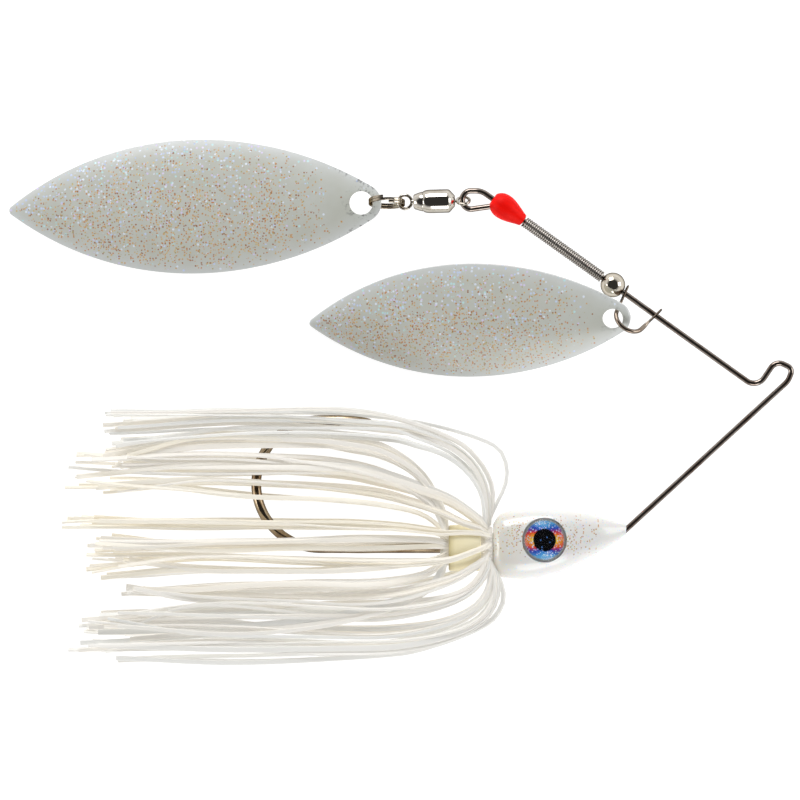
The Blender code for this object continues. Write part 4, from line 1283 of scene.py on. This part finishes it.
def build_clevis():
    """A stirrup of round wire whose two ends are flattened and drilled."""
    stirrup = clevis_path(6.0)
    legs = [stirrup[0].lerp(stirrup[1], (k / 24) ** 1.3) for k in range(24)]
    mirror = [Vector((-p.x, p.y, p.z)) for p in reversed(legs)]
    path = legs + stirrup[1:-1] + mirror
    sections = []
    for point in path:
        flat = smooth((EAR_END - point.y) / EAR_BLEND)
        thick = CLEVIS_WIRE_R + (EAR_THICKNESS / 2 - CLEVIS_WIRE_R) * flat
        wide = CLEVIS_WIRE_R + (EAR_WIDTH / 2 - CLEVIS_WIRE_R) * flat
        from_end = point.y + CLEVIS_EAR
        round_end = math.sqrt(max(0.0, 1 - (1 - min(from_end / 0.85, 1.0)) ** 2))
        wide *= 0.3 + 0.7 * round_end
        sections.append(polygon(20, thick, wide, 2.0 + 1.2 * flat))
    steel = metal("clevis_steel", srgb(150, 138, 126), 0.18, 0.04, 0.3, tarnish=srgb(110, 92, 78))
    at = placed(arm_point(CLEVIS_AT), clevis_turn())
    clevis = outward(make("clevis_stirrup", sweep(path, sections, Vector((0, 0, 1))), steel, at))
    hole_path = [Vector((-5, 0, 0)), Vector((5, 0, 0))]
    hole = make("ear_holes", tube(hole_path, WIRE_R + RUNNING_GAP + 0.04, 32), None, at)
    finish_mesh(clevis, [hole])
    piece(clevis, "clevis", "clevis", "clevis")


# ---------------------------------------------------------------- blades


def leaf_outline(steps):
    """(x, half width) along the blade from tip to eye end, with x from its widest place."""

    def half(flank_r, end_r, end_steps):
        centre_y = -(flank_r - BLADE_HALF_WIDTH)
        end_x = math.sqrt((flank_r - end_r) ** 2 - centre_y**2)
        meet = math.atan2(-centre_y, end_x)
        flank = []
        for k in range(steps):
            angle = math.pi / 2 + (meet - math.pi / 2) * k / steps
            flank.append((flank_r * math.cos(angle), centre_y + flank_r * math.sin(angle)))
        end = []
        for k in range(end_steps + 1):
            angle = meet * (1 - k / end_steps)
            end.append((end_x + end_r * math.cos(angle), end_r * math.sin(angle)))
        return flank + end

    tip = half(BLADE_TIP_FLANK_R, BLADE_TIP_R, 6)
    eye = half(BLADE_EYE_FLANK_R, BLADE_EYE_END_R, 12)
    return [(-x, w) for x, w in reversed(tip)] + eye[1:]


def dome_height(half_width, share):
    """The blade's rise over its rim, at a share of the half width from the centre line."""
    return BLADE_DOME * (half_width / BLADE_HALF_WIDTH) * (1 - share**2)


def blade_middle(scale):
    """How high the middle of the sheet is over the rim's plane, at the hole."""
    outline = leaf_outline(8)
    half_width = min(outline, key=lambda p: abs(p[0] - BLADE_HOLE_X))[1]
    return dome_height(half_width, 0) * scale - BLADE_THICKNESS / 2


def blade_shape(scale, rows=24):
    """Both faces of the blade, with its origin at the middle of the hole."""
    outline = leaf_outline(BLADE_STEPS)
    faces = []
    layers = []
    for drop in (0.0, BLADE_THICKNESS):
        grid = []
        for x, half_width in outline:
            width = max(half_width, 0.02)
            row = []
            for k in range(rows + 1):
                share = math.sin(math.pi / 2 * (2 * k / rows - 1))
                height = dome_height(width, share) * scale - drop
                row.append(Vector(((x - BLADE_HOLE_X) * scale, width * share * scale, height)))
            grid.append(row)
        layers.append(grid)
    verts = [v for grid in layers for row in grid for v in row]
    wide = rows + 1
    count = len(outline)

    def index(layer, i, k):
        return layer * count * wide + i * wide + k

    for i in range(count - 1):
        for k in range(rows):
            faces.append((index(0, i, k), index(0, i + 1, k), index(0, i + 1, k + 1), index(0, i, k + 1)))
            faces.append((index(1, i, k), index(1, i, k + 1), index(1, i + 1, k + 1), index(1, i + 1, k)))
        for k in (0, rows):
            faces.append((index(0, i, k), index(1, i, k), index(1, i + 1, k), index(0, i + 1, k)))
    for i in (0, count - 1):
        for k in range(rows):
            faces.append((index(0, i, k), index(0, i, k + 1), index(1, i, k + 1), index(1, i, k)))
    return verts, faces


def blade_marks(mesh, scale):
    """Point values for the paint: how far inside the rim, how far from the hole's end, and the scuffs."""
    xs, ws = zip(*leaf_outline(BLADE_STEPS))
    co = np.empty(len(mesh.vertices) * 3, np.float32)
    mesh.vertices.foreach_get("co", co)
    co = co.reshape(-1, 3) / MM / scale
    half = np.interp(co[:, 0] + BLADE_HOLE_X, xs, ws)
    inner = np.clip((half - np.abs(co[:, 1])) / 4.5, 0, 1)
    ahead = np.clip((-co[:, 0] - 2.4) / 11.0, 0, 1)
    out = np.hypot(co[:, 0], co[:, 1]) * scale
    rim = np.clip((half - np.abs(co[:, 1])) * scale / 0.8, 0, 1)
    near_hole = np.clip(1 - (out - BLADE_HOLE_R * scale) / 1.0, 0, 1)
    near_rim = (1 - rim) * np.clip(1 - np.abs(co[:, 0]) / 7.0, 0, 1)
    wear = np.maximum(near_hole * 0.8, near_rim)
    up = co[:, 1] / np.maximum(half, 0.5)
    low = np.clip(0.95 - 0.75 * up, 0.25, 1)
    high = np.clip(0.55 + 0.5 * up - 0.012 * (co[:, 0] + BLADE_HOLE_X), 0.2, 1)
    marks = (("inner", inner), ("ahead", ahead), ("wear", wear), ("low", low), ("high", high))
    for key, values in marks:
        mesh.attributes.new(key, "FLOAT", "POINT").data.foreach_set("value", values.astype(np.float32))


def build_blade(name, scale, at, mat, node):
    """One blade, on the body that has its CAD node's name."""
    blade = outward(make(name, blade_shape(scale), mat, at))
    hole_path = [Vector((0, 0, -3)), Vector((0, 0, 4))]
    hole = make(f"{name}_hole", tube(hole_path, BLADE_HOLE_R * scale, 64), None, at)
    finish_mesh(blade, [hole], bevel=0.12)
    blade_marks(blade.data, scale)
    piece(blade, node, "blade_paint", node)


def along(points, distance):
    for start, end in zip(points, points[1:]):
        run = (end - start).length
        if distance <= run:
            return start.lerp(end, distance / run)
        distance -= run
    raise ValueError("the path is too short")


def build_blades():
    # the clevis path's coarse form, so that the blade hangs where the CAD hangs it
    coarse = clevis_path(14.0)
    contact = arm_point(CLEVIS_AT) + clevis_turn() @ along(coarse, CLEVIS_CONTACT)
    turn = rotation(SMALL_YAW, "Z") @ rotation(-SMALL_PITCH, "Y") @ rotation(SMALL_ROLL, "X")
    wire_in_hole = Vector((*WIRE_IN_HOLE, blade_middle(SMALL_SCALE)))
    at = placed(contact - turn @ wire_in_hole, turn)
    small_paint = blade_paint("small_blade_paint", 0.35)
    build_blade("small_willow_blade", SMALL_SCALE, at, small_paint, "small_blade")
    at = in_chain(LARGE_HOLE_AT, z=-blade_middle(1.0))
    large_paint = blade_paint("large_blade_paint", 1.0)
    build_blade("large_willow_blade", 1.0, at, large_paint, "large_blade")


# ---------------------------------------------------------------- swivel and ring


def stem_profile(start, stem_r, head_at, head_r, head_length):
    """A stem with a wider head at its far end, as (x, radius) points."""
    end = head_at + head_length
    return [(start, 0), (start, stem_r), (head_at, stem_r), (head_at, head_r), (end, head_r), (end, 0)]


def build_swivel():
    plated = metal("swivel_nickel", srgb(206, 200, 190), 0.09, 0.01, 0.6, tarnish=srgb(176, 168, 156))
    rear, front = -BARREL_REAR, -BARREL_FRONT
    outside = [
        (rear, 1.0),
        (rear + 0.05, 1.1),
        (rear + 0.2, 1.22),
        (rear + 0.8, 1.42),
        (rear + 1.4, 1.6),
        (rear + 1.46, 1.6),
        (rear + 1.49, 1.53),
        (rear + 1.56, 1.53),
        (rear + 1.6, 1.66),
        (rear + 1.75, 1.74),
        (rear + 2.05, 1.83),
        (rear + 2.4, 1.88),
        (rear + 2.8, BARREL_R),
        (front - 1.25, BARREL_R),
        (front - 1.0, 1.87),
        (front - 0.85, 1.8),
        (front - 0.45, 1.36),
        (front - 0.2, 1.08),
        (front - 0.05, 0.92),
        (front, 0.8),
    ]
    inside = [
        (front, FRONT_STEM_R + 0.05),
        (-CAVITY_FRONT, FRONT_STEM_R + 0.05),
        (-CAVITY_FRONT, CAVITY_R),
        (-CAVITY_REAR, CAVITY_R),
        (-CAVITY_REAR, SHAFT_R + RUNNING_GAP),
        (rear, SHAFT_R + RUNNING_GAP),
    ]
    barrel = make("swivel_shell", turned(outside + inside, 64), plated, in_chain(0), 30)
    piece(outward(barrel), "swivel", "swivel", "swivel_barrel")

    def eye(name, ring_r, profile, at, body, node):
        ring = outward(make(name, torus(ring_r, EYE_WIRE_R), plated, at))
        stem = make(f"{name}_stem", turned(profile, 32, False), None, at)
        finish_mesh(ring, added=[stem], bevel=0.04)
        piece(ring, body, "swivel", node)

    lock = -CAVITY_FRONT + FRONT_EYE_AT - 0.04
    profile = stem_profile(-FRONT_EYE_RING_R, FRONT_STEM_R, lock, LOCK_R, -LOCK_LENGTH)
    at = in_chain(FRONT_EYE_AT, rotation(FRONT_EYE_TWIST - 90, "X"))
    eye("swivel_eye_front", FRONT_EYE_RING_R, profile, at, "swivel", "swivel_front_eye")
    flange = REAR_EYE_AT - BALL_AT + BALL_R + 0.04
    profile = stem_profile(REAR_EYE_RING_R, SHAFT_R, flange, FLANGE_R, FLANGE_LENGTH)
    at = in_chain(REAR_EYE_AT)
    eye("swivel_eye_rear", REAR_EYE_RING_R, profile, at, "swivel_rear_eye", "swivel_rear_eye")

    steel = metal("ball_steel", srgb(200, 200, 200), 0.1, 0.01, 0.5)
    profile = [(BALL_R, 0), *arc_profile(BALL_R * 0.99, 12, 168, 12), (-BALL_R, 0)]
    for number in range(1, 7):
        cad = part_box(f"swivel_ball_{number}")
        centre = (cad[0] + cad[1]) / 2 / MM
        ball = make(f"bearing_ball_{number}", turned(profile, 24, False), steel, placed(centre), 80)
        piece(outward(ball), "swivel", "swivel_ball", f"swivel_ball_{number}")


def build_split_ring():
    """Two flat coils of squared wire."""
    ring_nickel = metal("ring_nickel", srgb(196, 186, 170), 0.14, 0.02, 0.4, tarnish=srgb(150, 134, 112))
    section = polygon(12, RING_WIRE / 2, RING_WIRE / 2, 5.0)
    verts, faces = coil(RING_R, RING_PITCH, RING_TURNS, section, 72)
    middle = Vector((RING_PITCH * RING_TURNS / 2, 0, 0))
    turn = rotation(100, "X")
    verts = [turn @ (Vector(v) - middle) for v in verts]
    at = in_chain(RING_AT, rotation(RING_TILT, "X") @ rotation(90, "Z"))
    ring = make("split_ring_coils", (verts, faces), ring_nickel, at)
    piece(outward(ring), "split_ring", "split_ring", "split_ring")


# ---------------------------------------------------------------- the scene


def main():
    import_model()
    build_camera()
    resting = ("large_blade", "small_blade", "eye_lens_right")
    build_floor(min(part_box(node)[0].z for node in resting) / MM - FLOOR_GAP)
    build_light()
    build_wire()
    build_hook()
    build_head()
    build_eyes()
    silicone = silicone_paint()
    build_strands(silicone)
    build_collar(silicone)
    build_arm_pieces()
    build_clevis()
    build_blades()
    build_swivel()
    build_split_ring()


main()
